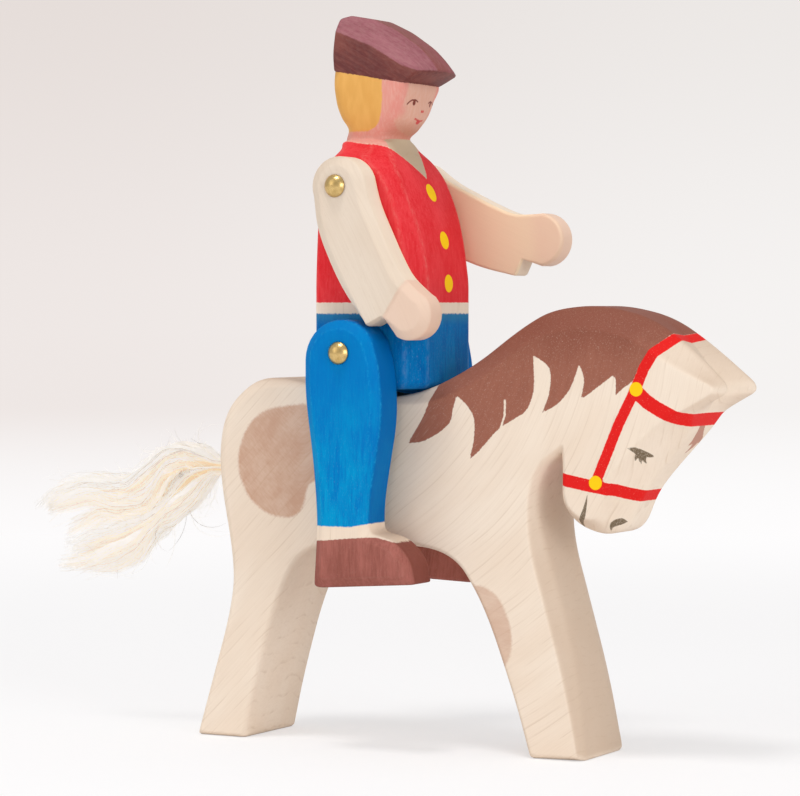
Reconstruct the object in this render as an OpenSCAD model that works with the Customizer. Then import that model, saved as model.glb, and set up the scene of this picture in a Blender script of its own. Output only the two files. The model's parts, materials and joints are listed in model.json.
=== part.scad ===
// Jointed wooden rider on a horse: a flat sawn toy with limbs that swing on brass nails.
// X runs from the tail to the nose, Y across the board, Z up. All sizes are millimetres.

/* [Horse] */
// Thickness of the board that the horse is sawn from
board_t = 32; // [28:0.5:38]
// Length of the stance, back of the rear hoof to front of the fore hoof
stance = 130; // [124:1:138]
// Length of one hoof on the ground
hoof_l = 17; // [14:0.5:20]
// Height of the rump
rump_h = 110; // [106:0.5:116]
// Height of the lowest point of the seat hollow
seat_h = 104.5; // [100:0.5:107]
// Height of the arch between the legs
arch_h = 61; // [54:0.5:66]
// Height of the crown of the neck
crown_h = 132; // [128:0.5:138]
// How far the ears reach in front of the fore hoof
ear_reach = 44; // [38:0.5:48]
// Width left flat along the crest of the neck
crest_w = 19; // [14:0.5:24]
// Width left flat down the front of the nose
nose_w = 12; // [9:0.5:18]
// Depth of the notch that parts the ears, at their tips
notch_d = 9.5; // [5:0.5:12]

/* [Tail] */
// Diameter of the hole for the tail
tail_hole_d = 9; // [7:0.5:11]
// Depth of the hole for the tail
tail_hole_l = 15; // [10:0.5:20]
// Height of the tail hole below the top of the rump
tail_drop = 28; // [24:0.5:34]
// How far the tail reaches behind the rump
tail_reach = 64; // [50:1:75]
// Thickness of the tail from side to side at its fullest
tail_w = 17; // [12:0.5:24]

/* [Rider] */
// Width of the torso across the shoulders and hips
torso_w = 41; // [39:0.5:48]
// Depth of the torso at the waist, back to belly
torso_l = 35.5; // [31:0.5:38]
// Height of the torso up to the edge of the shoulders
torso_h = 68; // [65:0.5:74]
// Height of the head from the neck to the hat's edge at the brow
head_h = 16; // [14:0.5:20]
// Width of the head at the brow
head_w = 24; // [20:0.5:27]
// Height of the hat above its edge at the brow
cap_h = 22; // [17:0.5:26]
// How far the peak of the hat stands out beyond the face
peak_l = 9; // [5:0.5:12]

/* [Limbs] */
// Thickness of an arm
arm_t = 10; // [8:0.5:14]
// Length of an arm, nail to fingertips
arm_l = 51.7; // [50:0.1:54]
// Radius of an arm's round top
arm_r = 8.8; // [7.5:0.1:9.5]
// Thickness of a leg
leg_t = 12.5; // [9:0.5:16]
// Length of a leg, nail to sole
leg_l = 68.8; // [60:0.2:76]
// Radius of a leg's round top
leg_r = 12; // [10.5:0.1:12.5]
// How much larger the radius of the left fist is than that of the right
left_fist_extra = 0.5; // [0:0.1:1]
// How much longer the left leg is than the right
left_leg_extra = 1.5; // [0:0.1:3]
// Length of a shoe
shoe_l = 33.8; // [28:0.5:38]
// Angle by which the left arm is raised from the right arm's pose
left_arm_raise = 38.5; // [0:0.5:90]
// Angle by which the left leg hangs behind the right leg
left_leg_back = 6; // [0:1:40]

/* [Nails] */
// Diameter of a nail's shank
nail_d = 2.5; // [2:0.1:3.5]
// Diameter of a nail's domed head
nail_head_d = 6.7; // [5:0.1:8]
// Height of the domed head
nail_head_h = 1.9; // [1.2:0.1:2.5]
// Length of shank held in the torso
nail_grip = 14; // [10:0.5:17]
// Height of the shoulder nails above the seat
shoulder_h = 59.8; // [57:0.2:61]
// Height of the hip nails above the seat
hip_h = 10.8; // [8:0.2:13]

/* [Fits] */
// Radial clearance of a limb on its nail
swing_fit = 0.08; // [0.03:0.01:0.1]
// Radial clearance of what is glued or driven into its hole
tight_fit = 0.02; // [0:0.01:0.04]
// Gap between a limb and the torso, and between a limb and the nail head
side_gap = 0.3; // [0.2:0.05:0.6]
// Gap between the rider and the horse's back
seat_gap = 0.3; // [0.2:0.05:0.5]
// Gap between a resting cuff and the thigh
cuff_gap = 0.6; // [0.3:0.1:1.5]

/* [Hidden] */

// Steps in one rounded corner, and in a full turn of a drilled hole or a nail
corner_n = 4;
turn_n = 48;

// Outlines. A row is [x, z, roundness, then what else varies along the edge], in clockwise order.
// A corner with a roundness is cut by a parabola; a roundness of 0 leaves the point as it is.
function mix(a, b, t) = a + (b - a) * t;
function corner(a, p, b, n) = p[2] == 0 ? [p] :
    let(u = mix(p, a, p[2] / 2), v = mix(p, b, p[2] / 2))
    [for (i = [0:n]) let(t = i / n) u * pow(1 - t, 2) + p * (2 * t * (1 - t)) + v * pow(t, 2)];
function rounded(rows, n = corner_n) = let(m = len(rows))
    [for (i = [0:m - 1]) each corner(rows[(i + m - 1) % m], rows[i], rows[(i + 1) % m], n)];
// The same outline with its corner i drawn in by insets[i], square to both of its edges
function edge_normal(a, b) = [b[1] - a[1], a[0] - b[0]] / norm([b[1] - a[1], a[0] - b[0]]);
function drawn_in(rows, insets) = let(m = len(rows)) [for (i = [0:m - 1])
    let(p = rows[i], u = edge_normal(rows[(i + m - 1) % m], p), v = edge_normal(p, rows[(i + 1) % m]),
        q = (u + v) / (1 + u * v) * insets[i]) [p[0] + q[0], p[1] + q[1], p[2]]];
// Arc about a centre, from one angle to another, as rows of roundness 0
function arc_rows(c, r, from, to, n) =
    [for (i = [0:n]) let(a = mix(from, to, i / n)) [c[0] + r * cos(a), c[1] + r * sin(a), 0]];
// Rows turned about the origin, forwards for a part that hangs from it
function swing(path, a) =
    [for (p = path) [p[0] * cos(a) - p[1] * sin(a), p[0] * sin(a) + p[1] * cos(a)]];

// Triangles that fill a clockwise outline, found by clipping one convex corner after another
function turn(a, b, c) = (b[0] - a[0]) * (c[1] - a[1]) - (b[1] - a[1]) * (c[0] - a[0]);
function is_ear(path, ids, k) = let(m = len(ids), a = path[ids[(k + m - 1) % m]],
        b = path[ids[k]], c = path[ids[(k + 1) % m]])
    turn(a, b, c) < 0 && len([for (j = ids) let(p = path[j])
        if (p != a && p != b && p != c && max(turn(a, b, p), turn(b, c, p), turn(c, a, p)) <= 0) j]) == 0;
function next_ear(path, ids, k, tries = 0) = is_ear(path, ids, k) || tries > len(ids) ? k :
    next_ear(path, ids, (k + 1) % len(ids), tries + 1);
function filled(path, ids, k = 0) = let(m = len(ids)) m < 4 ? [ids] : let(e = next_ear(path, ids, k))
    concat([[ids[(e + m - 1) % m], ids[e], ids[(e + 1) % m]]],
        filled(path, [for (i = [0:m - 1]) if (i != e) ids[i]], e % (m - 1)));

// Closed skin over a stack of rings with the same number of points. The faces that close its ends
// index the first and the last ring
module skin(rings, first, last) {
    m = len(rings[0]);
    k = len(rings);
    sides = [for (j = [0:k - 2], i = [0:m - 1]) let(a = j * m + i, b = j * m + (i + 1) % m)
        each [[a, b + m, b], [a, a + m, b + m]]];
    ends = [for (face = last) [for (i = [len(face) - 1:-1:0]) (k - 1) * m + face[i]]];
    polyhedron([for (r = rings) each r], concat(sides, first, ends), convexity = 8);
}
// Stack of rings that each bulge outwards all round, so one face closes each end
module tube(rings) {
    end = [[for (i = [0:len(rings[0]) - 1]) i]];
    skin(rings, end, end);
}
// Stack of rings across a board, whose ends are flat and may be hollow in outline
module board(rings) {
    ids = [for (i = [0:len(rings[0]) - 1]) i];
    ends = [for (r = [rings[0], rings[len(rings) - 1]]) filled([for (p = r) [p[0], p[2]]], ids)];
    skin(rings, ends[0], ends[1]);
}
// Ring of an outline at a place across the board
function board_ring(path, y) = [for (p = path) [p[0], y, p[1]]];

// Horse
half_t = board_t / 2;
rear_x = -stance / 2;
fore_x = stance / 2;
ear_x = fore_x + ear_reach;
crest_drop = half_t - crest_w / 2;
nose_drop = half_t - nose_w / 2;
edge = 1;
// Columns after the roundness: how far the edge lies in from the side face, the width of the
// bevel there, and how far the ears' notch shifts the middle of the edge in x and in z
horse_rows = [
    [rear_x, 0, 0.12, edge, edge, 0, 0],
    [rear_x + 4.5, 15, 0.9, edge, edge, 0, 0],
    [rear_x + 11.5, 38, 0.9, edge, edge, 0, 0],
    [rear_x + 13, 52, 0.9, 1.5, 1.5, 0, 0],
    [rear_x + 6.5, 83, 0.9, 2, 2.5, 0, 0],
    [rear_x + 9, rump_h - 10, 0.9, 2, 3, 0, 0],
    [rear_x + 20.5, rump_h, 0.9, 2, 3, 0, 0],
    [rear_x + 34, rump_h - 0.5, 0.9, 1.5, 2, 0, 0],
    [rear_x + 48, seat_h + 1.5, 0.9, edge, 1.5, 0, 0],
    [0, seat_h - 0.5, 0.9, edge, 1.5, 0, 0],
    [13, seat_h + 2, 0.9, 3.5, 4, 0, 0],
    [27, 114, 0.9, crest_drop, 6.4, 0, 0],
    [42, crown_h - 7, 0.9, crest_drop, 6.4, 0, 0],
    [52, crown_h - 1.5, 0.9, crest_drop, 6.4, 0, 0],
    [67, crown_h, 0.9, crest_drop, 6.4, 0, 0],
    [ear_x - 26, crown_h - 3.5, 0.9, crest_drop, 6.4, 0, 0],
    [ear_x - 13, crown_h - 12, 0.9, crest_drop, 6.6, -1, -1.2],
    [ear_x + 0.735, crown_h - 24.2, 0.55, 5, 1.5, -notch_d, -0.5],
    [ear_x - 11.5, crown_h - 30.8, 0.5, 3.5, 1.2, 0, 0],
    [ear_x - 14, 95.5, 0.9, nose_drop - 2, 6.5, 0, 0],
    [84.5, 83.5, 0.9, nose_drop, 8, 0, 0],
    [79.5, 77, 0.9, nose_drop, 8, 0, 0],
    [75.7, 67.5, 0.9, nose_drop, 6, 0, 0],
    [69, 65, 0.9, 8, 4.5, 0, 0],
    [61.5, 68, 0.9, 5, 3, 0, 0],
    [57.5, 74.5, 0.9, 2, 1.5, 0, 0],
    [58, 83, 0.7, 1.5, 1.2, 0, 0],
    [57.5, 89, 0.25, 2, 1.5, 0, 0],
    [51, 84, 0.9, 3, 1.5, 0, 0],
    [48.8, 75, 0.9, 3, 1.5, 0, 0],
    [fore_x - 14.5, 62, 0.9, 6, 2.5, 0, 0],
    [fore_x - 9.5, 45, 0.9, 7, 2.5, 0, 0],
    [fore_x - 3.5, 22, 0.9, 6.5, 2, 0, 0],
    [fore_x, 0, 0.12, 3, 1.2, 0, 0],
    [fore_x - hoof_l, 0, 0.12, edge, edge, 0, 0],
    [fore_x - hoof_l - 5, 17, 0.9, edge, edge, 0, 0],
    [fore_x - hoof_l - 15, 44, 0.9, edge, edge, 0, 0],
    [fore_x - hoof_l - 26, arch_h - 1, 0.9, edge, edge, 0, 0],
    [-5, arch_h, 0.9, edge, edge, 0, 0],
    [rear_x + hoof_l + 20, arch_h - 2, 0.9, edge, edge, 0, 0],
    [rear_x + hoof_l + 11, 42, 0.9, edge, edge, 0, 0],
    [rear_x + hoof_l + 3.5, 16, 0.9, edge, edge, 0, 0],
    [rear_x + hoof_l, 0, 0.12, edge, edge, 0, 0]
];
horse_path = rounded(horse_rows);
horse_n = len(horse_path) - 1;
// Height above which the outline is that of the haunch
haunch_z = rump_h - 35;
rump_x = min([for (p = horse_path) if (p[1] > haunch_z) p[0]]);
nose_x = max([for (p = horse_path) p[0]]);
tail_z = rump_h - tail_drop;
tail_tip_x = rump_x - tail_reach;
// The part stands with its middle over the origin
shift_x = -(nose_x + tail_tip_x) / 2;

horse_side = rounded(drawn_in(horse_rows, [for (row = horse_rows) row[4]]));
function horse_edge_ring(s) = [for (p = horse_path) [p[0], s * (half_t - p[3]), p[1]]];
function horse_mid_ring() = [for (p = horse_path) [p[0] + p[5], 0, p[1] + p[6]]];

module horse_body() {
    color([0.91, 0.86, 0.78])
    translate([shift_x, 0, 0])
    difference() {
        board([board_ring(horse_side, -half_t), horse_edge_ring(-1), horse_mid_ring(),
            horse_edge_ring(1), board_ring(horse_side, half_t)]);
        translate([rump_x - 3, 0, tail_z])
        rotate([0, 90, 0])
        cylinder(d = tail_hole_d, h = tail_hole_l + 3, $fn = turn_n);
    }
}

// Tail: a bound bundle of fibre in the hole, and the loose switch behind it
binding_l = 5;
binding_wall = 0.6;
tail_sides = 12;
tail_root_x = rump_x - 0.2;
tail_root_l = tail_hole_l - 0.5;
tail_root_d = tail_hole_d - 2 * tight_fit;
tail_bound_d = tail_root_d - 2 * binding_wall;
tail_loose_d = 6.6;
tail_loose_l = 1.5;
// Rows: fraction of the reach, height above the hole's axis, half height of the switch, and its
// half width as a fraction of tail_w / 2
tail_rows = [
    [0, 0, 3.4, 0.42], [0.1, -0.5, 4.2, 0.5], [0.2, -2.5, 8.2, 0.7], [0.33, -6.5, 11.3, 0.9],
    [0.47, -11, 12.3, 1], [0.6, -16, 12.6, 1], [0.74, -18.5, 12.8, 1], [0.88, -19, 12.6, 0.9],
    [1, -19.5, 10.5, 0.7]
];
function tail_ring(row) = [for (i = [0:tail_sides - 1]) let(a = i * 360 / tail_sides)
    [rump_x - row[0] * tail_reach, -row[3] * tail_w / 2 * cos(a),
        tail_z + row[1] + row[2] * sin(a)]];

module tail_hair() {
    color([0.96, 0.9, 0.78])
    translate([shift_x, 0, 0]) {
        tube([for (row = tail_rows) tail_ring(row)]);
        translate([tail_root_x, 0, tail_z])
        rotate([0, 90, 0]) {
            cylinder(d = tail_loose_d, h = 2 * tail_loose_l, $fn = turn_n);
            translate([0, 0, tail_loose_l])
            cylinder(d = tail_root_d, h = tail_root_l - binding_l - tail_loose_l, $fn = turn_n);
            translate([0, 0, tail_root_l - binding_l - 0.1])
            cylinder(d = tail_bound_d, h = binding_l + 0.1, $fn = turn_n);
        }
    }
}
module tail_binding() {
    color([0.8, 0.72, 0.55])
    translate([shift_x + tail_root_x + tail_root_l - binding_l, 0, tail_z])
    rotate([0, 90, 0])
    difference() {
        cylinder(d = tail_root_d, h = binding_l, $fn = turn_n);
        translate([0, 0, -1])
        cylinder(d = tail_bound_d, h = binding_l + 2, $fn = turn_n);
    }
}

// Rider. The torso stands on the highest point of the horse's back under its flat base
torso_mid_x = -3.9;
belly_x = torso_mid_x + torso_l / 2;
back_x = torso_mid_x - torso_l / 2;
base_round = 2.5;
seat_curve = [for (i = [horse_n:-1:0]) let(p = horse_path[i])
    if (p[1] > 90 && p[0] > rear_x + 20 && p[0] < 60) [p[0], p[1]]];
back_curve = [for (i = [len(seat_curve) - 1:-1:0]) seat_curve[i]];
function lift(x) = max(0, x - (belly_x - base_round), back_x + base_round - x);
base_z = seat_gap + max([for (x = [back_x:0.5:belly_x]) lookup(x, back_curve) - lift(x)]);
shoulder = [torso_mid_x - 3.9, base_z + shoulder_h];
hip = [torso_mid_x - 1.4, base_z + hip_h];
half_w = torso_w / 2;
neck_z = base_z + torso_h + 6.5;
brow_z = neck_z + head_h;
head_x = torso_mid_x - 3.7;

// Eight-sided section: back, belly, half width, then the half widths of the flat belly and back,
// and how far the side face stops short of each
function section(z, back, front, w, front_w, back_w, front_cut, back_cut) = [
    [front, -front_w, z], [front, front_w, z], [front - front_cut, w, z], [back + back_cut, w, z],
    [back, back_w, z], [back, -back_w, z], [back + back_cut, -w, z], [front - front_cut, -w, z]
];
torso_sections = [
    section(base_z, back_x + 2, belly_x - 2, half_w - 1.5, 11.5, 11.5, 4, 2),
    section(base_z + base_round, back_x, belly_x, half_w, 13.3, 13.5, 4.2, 1.2),
    section(base_z + 30, back_x, belly_x, half_w, 13.3, 13.5, 4.2, 1.2),
    section(base_z + 38, back_x + 0.2, belly_x - 0.9, half_w, 13.4, 13.5, 4, 1.2),
    section(base_z + torso_h - 25, back_x + 0.4, belly_x - 1.8, half_w, 13.7, 13.5, 3.6, 1.2),
    section(base_z + torso_h - 17, back_x + 0.7, belly_x - 4, half_w, 14.3, 13.5, 3, 1.4),
    section(base_z + torso_h - 9, back_x + 1.2, belly_x - 7.2, half_w, 15, 13.5, 2.8, 1.8),
    section(base_z + torso_h - 4, back_x + 2, belly_x - 9.4, half_w, 14.5, 13, 4, 2.2),
    section(base_z + torso_h, back_x + 3.2, belly_x - 11.9, half_w - 0.8, 13, 12, 6, 3),
    section(base_z + torso_h + 3.5, back_x + 4, belly_x - 14.3, half_w - 5.5, 9, 9, 4.5, 3),
    section(neck_z - 0.8, head_x - 10.7, belly_x - 15, half_w - 9, 6, 6, 3.5, 2.5),
    section(neck_z, head_x - 10.9, head_x + 6.5, 9.5, 4.5, 5, 4.5, 3.5),
    section(neck_z + 3, head_x - 10.2, head_x + 8.2, head_w / 2 - 1.8, 6.3, 5, 4, 4),
    section(neck_z + 6.5, head_x - 11.4, head_x + 10.2, head_w / 2 - 1, 8, 7, 3.5, 3.5),
    section(neck_z + 11.5, head_x - 12.5, head_x + 11.5, head_w / 2 - 0.4, 9.9, 8.5, 2.5, 3),
    section(brow_z + 1, head_x - 12.6, head_x + 12.2, head_w / 2, 11.6, 9.5, 1.5, 2.5),
    section(brow_z + 5, head_x - 12.4, head_x + 9, head_w / 2 - 0.2, 9, 9.3, 2, 2.5)
];
// Hat, as the hull of its corners: x from the head's middle, half width, height above the brow
cap_round = 0.5;
cap_half_w = head_w / 2 + 0.4;
cap_corners = [
    [12.2, cap_half_w - 0.6, 0.7], [-11, cap_half_w - 0.8, 4.8], [-12.2, 9, 5.2],
    [12.2 + peak_l - 4, cap_half_w + 0.6, 3.7], [12.2 + peak_l - 1.5, 7, 4],
    [12.2 + peak_l - 0.5, 0, 4], [-12.3, cap_half_w - 2.5, 10], [-10, cap_half_w, cap_h - 6],
    [2, cap_half_w, cap_h - 11], [12, cap_half_w, cap_h - 17], [-11.4, 6.8, cap_h - 1.8],
    [-9.2, 5, cap_h - 1], [-0.5, 5, cap_h - 2.6], [6.7, 5, cap_h - 6.1], [14, 4.8, cap_h - 11.1],
    [17.9, 4.4, cap_h - 14.9]
];
module cap() {
    hull()
    for (c = cap_corners, s = [-1, 1])
    translate([head_x + c[0], s * c[1], brow_z + c[2]])
    sphere(r = cap_round, $fn = 8);
}
// Blind holes for the nails, one pair through the shoulders and one through the hips
module nail_holes(at) {
    for (s = [-1, 1])
    translate([at[0], s * half_w, at[1]])
    rotate([s * 90, 0, 0])
    translate([0, 0, -1])
    cylinder(d = nail_d + 2 * tight_fit, h = nail_grip + 1.5, $fn = turn_n);
}
module torso() {
    color([0.85, 0.2, 0.22])
    translate([shift_x, 0, 0])
    difference() {
        union() {
            tube(torso_sections);
            cap();
        }
        nail_holes(shoulder);
        nail_holes(hip);
    }
}

// Limbs. An outline is relative to its nail, for the pose of the right side. A fourth column, where
// a row has one, is the share of the bevels that the corner gets
fist_r = 7.6;
hand_a = -58.7;
fist = (arm_l - fist_r) * [cos(hand_a), sin(hand_a)];
thigh_c = [-0.3, -2.2];
cuff_a = 51.5;
cuff = hip - shoulder + thigh_c + (leg_r + cuff_gap) * [cos(cuff_a), sin(cuff_a)];
function arm_rows(extra) = let(grow = 1 + extra / fist_r) concat(
    arc_rows([0, 0], arm_r, 200, 20, 16),
    [[10.3, -5, 0.9], [14, -12.8, 0.9], [17.6, -20.3, 0.9], [fist[0] - 1.6, fist[1] + 10.9, 0.9],
    [fist[0] + 4.1 * grow, fist[1] + 6.1 * grow, 0.5]],
    arc_rows(fist, fist_r * grow, 42, -120, 15),
    [[cuff[0] + 5, cuff[1] + 2.5, 0, 0.2], [cuff[0], cuff[1], 0.05, 0.2],
    [cuff[0] - 7, cuff[1] + 8.6, 0.9], [-1.4, -25.5, 0.9], [-7.1, -13, 0.9]]);
toe_up = 2.2;
heel_x = -9.4;
toe_x = heel_x + shoe_l;
function leg_rows(extra) = let(sole = -leg_l - extra - 0.6) concat(
    arc_rows(thigh_c, leg_r, 180, 30, 15),
    [[12.6, -4.5, 0.9], [13.5, -19, 0.9], [10.6, -35, 0.9], [9.1, sole + 25, 0.9],
    [9.1, sole + 17, 0.5], [toe_x - 7, sole + toe_up + 12.8, 0.8],
    [toe_x - 1.5, sole + toe_up + 7.5, 0.9], [toe_x, sole + toe_up, 0.15], [heel_x, sole, 0.2],
    [heel_x + 0.8, sole + 13.5, 0.5], [-8.3, sole + 21.5, 0.9], [-9.6, -32, 0.9],
    [-12.3, -13, 0.9]]);
outer_bevel = 1.8;
inner_bevel = 0.6;

// Limb on side s (-1 is the rider's right): swung outline, drilled for its nail
module limb(rows, thick, at, a, s) {
    inner = half_w + side_gap;
    outer = inner + thick;
    ys = [inner, inner + inner_bevel, outer - outer_bevel, outer];
    bevels = [inner_bevel, 0, 0, outer_bevel];
    shares = [for (row = rows) len(row) > 3 ? row[3] : 1];
    rings = [for (k = [0:3]) let(j = s < 0 ? 3 - k : k)
        board_ring(swing(rounded(drawn_in(rows, bevels[j] * shares)), a), s * ys[j])];
    translate([at[0] + shift_x, 0, at[1]])
    difference() {
        board(rings);
        translate([0, s * (inner - 1), 0])
        rotate([-s * 90, 0, 0])
        cylinder(d = nail_d + 2 * swing_fit, h = thick + 2, $fn = turn_n);
    }
}
module right_arm() {
    color([0.91, 0.86, 0.77])
    limb(arm_rows(0), arm_t, shoulder, 0, -1);
}
module left_arm() {
    color([0.91, 0.86, 0.77])
    limb(arm_rows(left_fist_extra), arm_t, shoulder, left_arm_raise, 1);
}
module right_leg() {
    color([0.05, 0.42, 0.7])
    limb(leg_rows(0), leg_t, hip, 0, -1);
}
module left_leg() {
    color([0.05, 0.42, 0.7])
    limb(leg_rows(left_leg_extra), leg_t, hip, -left_leg_back, 1);
}

// Nail on side s: domed head and shank turned as one profile
module nail(at, thick, s) {
    head_y = half_w + thick + 2 * side_gap;
    tip_y = half_w - nail_grip;
    dome_r = (pow(nail_head_d / 2, 2) + pow(nail_head_h, 2)) / (2 * nail_head_h);
    dome_a = asin(nail_head_d / 2 / dome_r);
    profile = concat([[0, tip_y], [nail_d / 2 - 0.5, tip_y], [nail_d / 2, tip_y + 1],
        [nail_d / 2, head_y], [nail_head_d / 2, head_y]],
        [for (i = [1:8]) let(a = dome_a * (1 - i / 8))
            [dome_r * sin(a), head_y + nail_head_h - dome_r * (1 - cos(a))]]);
    color([0.78, 0.62, 0.28])
    translate([at[0] + shift_x, 0, at[1]])
    rotate([-s * 90, 0, 0])
    rotate_extrude($fn = turn_n)
    polygon(profile);
}
module right_shoulder_nail() { nail(shoulder, arm_t, -1); }
module left_shoulder_nail() { nail(shoulder, arm_t, 1); }
module right_hip_nail() { nail(hip, leg_t, -1); }
module left_hip_nail() { nail(hip, leg_t, 1); }

horse_body();
tail_hair();
tail_binding();
torso();
right_arm();
left_arm();
right_leg();
left_leg();
right_shoulder_nail();
left_shoulder_nail();
right_hip_nail();
left_hip_nail();
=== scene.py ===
import json
import math

import bpy
import numpy as np
from bpy.props import FloatProperty, FloatVectorProperty, IntProperty, PointerProperty
from mathutils import Euler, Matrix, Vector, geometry


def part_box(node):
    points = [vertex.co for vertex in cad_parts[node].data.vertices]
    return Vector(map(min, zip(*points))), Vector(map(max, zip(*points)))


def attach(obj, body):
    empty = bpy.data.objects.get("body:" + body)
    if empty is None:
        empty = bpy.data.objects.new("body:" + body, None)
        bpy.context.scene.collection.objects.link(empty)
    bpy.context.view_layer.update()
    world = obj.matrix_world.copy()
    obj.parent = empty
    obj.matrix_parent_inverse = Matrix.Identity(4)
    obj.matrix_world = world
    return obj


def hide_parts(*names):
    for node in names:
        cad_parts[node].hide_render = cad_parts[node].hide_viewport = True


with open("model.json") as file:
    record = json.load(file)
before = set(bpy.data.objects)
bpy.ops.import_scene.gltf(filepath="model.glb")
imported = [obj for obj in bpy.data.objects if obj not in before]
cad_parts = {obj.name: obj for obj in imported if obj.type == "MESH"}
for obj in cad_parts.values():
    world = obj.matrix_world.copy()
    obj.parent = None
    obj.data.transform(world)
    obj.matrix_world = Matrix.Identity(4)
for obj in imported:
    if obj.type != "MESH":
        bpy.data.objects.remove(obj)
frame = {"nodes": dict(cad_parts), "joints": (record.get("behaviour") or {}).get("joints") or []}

bl_info = {
    "name": "Jointed wooden rider and horse",
    "version": (1, 0, 0),
    "blender": (4, 5, 0),
    "location": "View3D > Sidebar > Rider",
    "description": "Dresses the packed rider and horse with carved, stained and varnished wood",
    "category": "Object",
}

# Shapes are worked out in millimetres, with x counted from the middle of the horse's stance.
MM = 0.001
STANCE = 130.0
MID_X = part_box("horse_body")[0][0] / MM + STANCE / 2
BASE_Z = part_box("torso")[0][2] / MM
HALF_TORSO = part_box("torso")[1][1] / MM
HALF_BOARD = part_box("horse_body")[1][1] / MM
# Steps round each soft corner of a board
CORNER_STEPS = 6


# Shapes

def place(points):
    """Millimetres from the middle of the stance, as metres in the frame."""
    return (np.asarray(points, float) + [MID_X, 0, 0]) * MM


def at_depth(flat, y):
    """Points of the x-z plane, carried to a distance y across the board."""
    return np.column_stack([flat[:, 0], np.broadcast_to(y, len(flat)), flat[:, 1]])


def unit(arrows):
    """The same directions with length 1."""
    return arrows / np.linalg.norm(arrows, axis=-1, keepdims=True)


def toward(degrees):
    """Unit vector in the x-z plane at an angle above the x axis."""
    return np.array([math.cos(math.radians(degrees)), math.sin(math.radians(degrees))])


def parabola(u, p, v, t):
    """u (1 - t)^2 + 2 p t (1 - t) + v t^2: from u to v, leaving and arriving along the lines to p."""
    return u * (1 - t) ** 2 + p * 2 * t * (1 - t) + v * t ** 2


def cubic(a, b, m, n, t):
    """h00 a + h10 m + h01 b + h11 n: from a to b, with the slopes m and n at its ends."""
    return (2 * t ** 3 - 3 * t ** 2 + 1) * a + (t ** 3 - 2 * t ** 2 + t) * m \
        + (3 * t ** 2 - 2 * t ** 3) * b + (t ** 3 - t ** 2) * n


def net(rows, columns):
    """Four-sided faces between closed rows of points, which are numbered row by row."""
    i, j = np.meshgrid(np.arange(rows - 1), np.arange(columns), indexing="ij")
    ahead, beside = i + 1, (j + 1) % columns
    corners = (i * columns + j, i * columns + beside, ahead * columns + beside, ahead * columns + j)
    return np.stack(corners, -1).reshape(-1, 4)


def fan(ring, middle, outwards=True):
    """Triangles from a closed ring of point numbers to one point in its middle."""
    ahead = np.roll(ring, -1)
    pair = (ring, ahead) if outwards else (ahead, ring)
    return np.stack([pair[0], pair[1], np.full(len(ring), middle)], -1)


def tube(rows, columns):
    """Faces of a tube closed at both ends: between its rows, and from its first and last row to the
    two points that are numbered after them."""
    first = np.arange(columns)
    middle = rows * columns
    last = middle - columns + first
    return net(rows, columns), np.vstack([fan(first, middle, outwards=False), fan(last, middle + 1)])


def add_field(mesh, key, value, kind="FLOAT"):
    """One of the painter's fields, kept as a point attribute of a mesh."""
    made = mesh.attributes.new(key, kind, "POINT")
    part = "vector" if kind == "FLOAT_VECTOR" else "value"
    made.data.foreach_set(part, np.asarray(value, float).ravel())


def point_normals(piece):
    """The normal at every point of a piece, one row each."""
    normals = np.empty(len(piece.data.vertices) * 3)
    piece.data.vertex_normals.foreach_get("vector", normals)
    return normals.reshape(-1, 3)


def add_piece(name, points, quads, triangles, material, values, grain=None):
    """Mesh object in the frame's place, with the painter's fields kept as point attributes."""
    mesh = bpy.data.meshes.new(name)
    loops = np.concatenate([np.asarray(quads, int).ravel(), np.asarray(triangles, int).ravel()])
    sizes = np.concatenate([np.full(len(quads), 4), np.full(len(triangles), 3)])
    mesh.vertices.add(len(points))
    mesh.vertices.foreach_set("co", place(points).ravel())
    mesh.loops.add(len(loops))
    mesh.loops.foreach_set("vertex_index", loops)
    mesh.polygons.add(len(sizes))
    mesh.polygons.foreach_set("loop_start", np.cumsum(sizes) - sizes)
    mesh.polygons.foreach_set("use_smooth", np.ones(len(sizes), bool))
    mesh.update(calc_edges=True)
    for key, value in values.items():
        add_field(mesh, key, value)
    if grain is not None:
        add_field(mesh, "grain", grain, "FLOAT_VECTOR")
    mesh.materials.append(material)
    mesh.validate()
    piece = bpy.data.objects.new(name, mesh)
    bpy.context.scene.collection.objects.link(piece)
    return piece


def rounded(rows, steps=10):
    """Closed outline whose corner p, between neighbours a and b, is cut by a parabola from u to v,
    which lie half the row's roundness of the way from p to a and to b. Further columns of a row
    are blended like its place."""
    rows = np.asarray(rows, float)
    part = rows[:, 2:3] / 2
    u = rows + (np.roll(rows, 1, 0) - rows) * part
    v = rows + (np.roll(rows, -1, 0) - rows) * part
    t = np.linspace(0, 1, steps)[None, :, None]
    return parabola(u[:, None], rows[:, None], v[:, None], t).reshape(-1, rows.shape[1])


def drawn_in(rows, insets):
    """The control rows of a clockwise outline, each moved inwards square to both of its edges."""
    rows = np.array(rows, float)
    ahead = np.roll(rows, -1, 0)[:, :2] - rows[:, :2]
    normal = unit(np.stack([ahead[:, 1], -ahead[:, 0]], -1))
    behind = np.roll(normal, 1, 0)
    share = (behind + normal) / (1 + (behind * normal).sum(1))[:, None]
    rows[:, :2] += share * np.asarray(insets, float)[:, None]
    return rows


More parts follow.
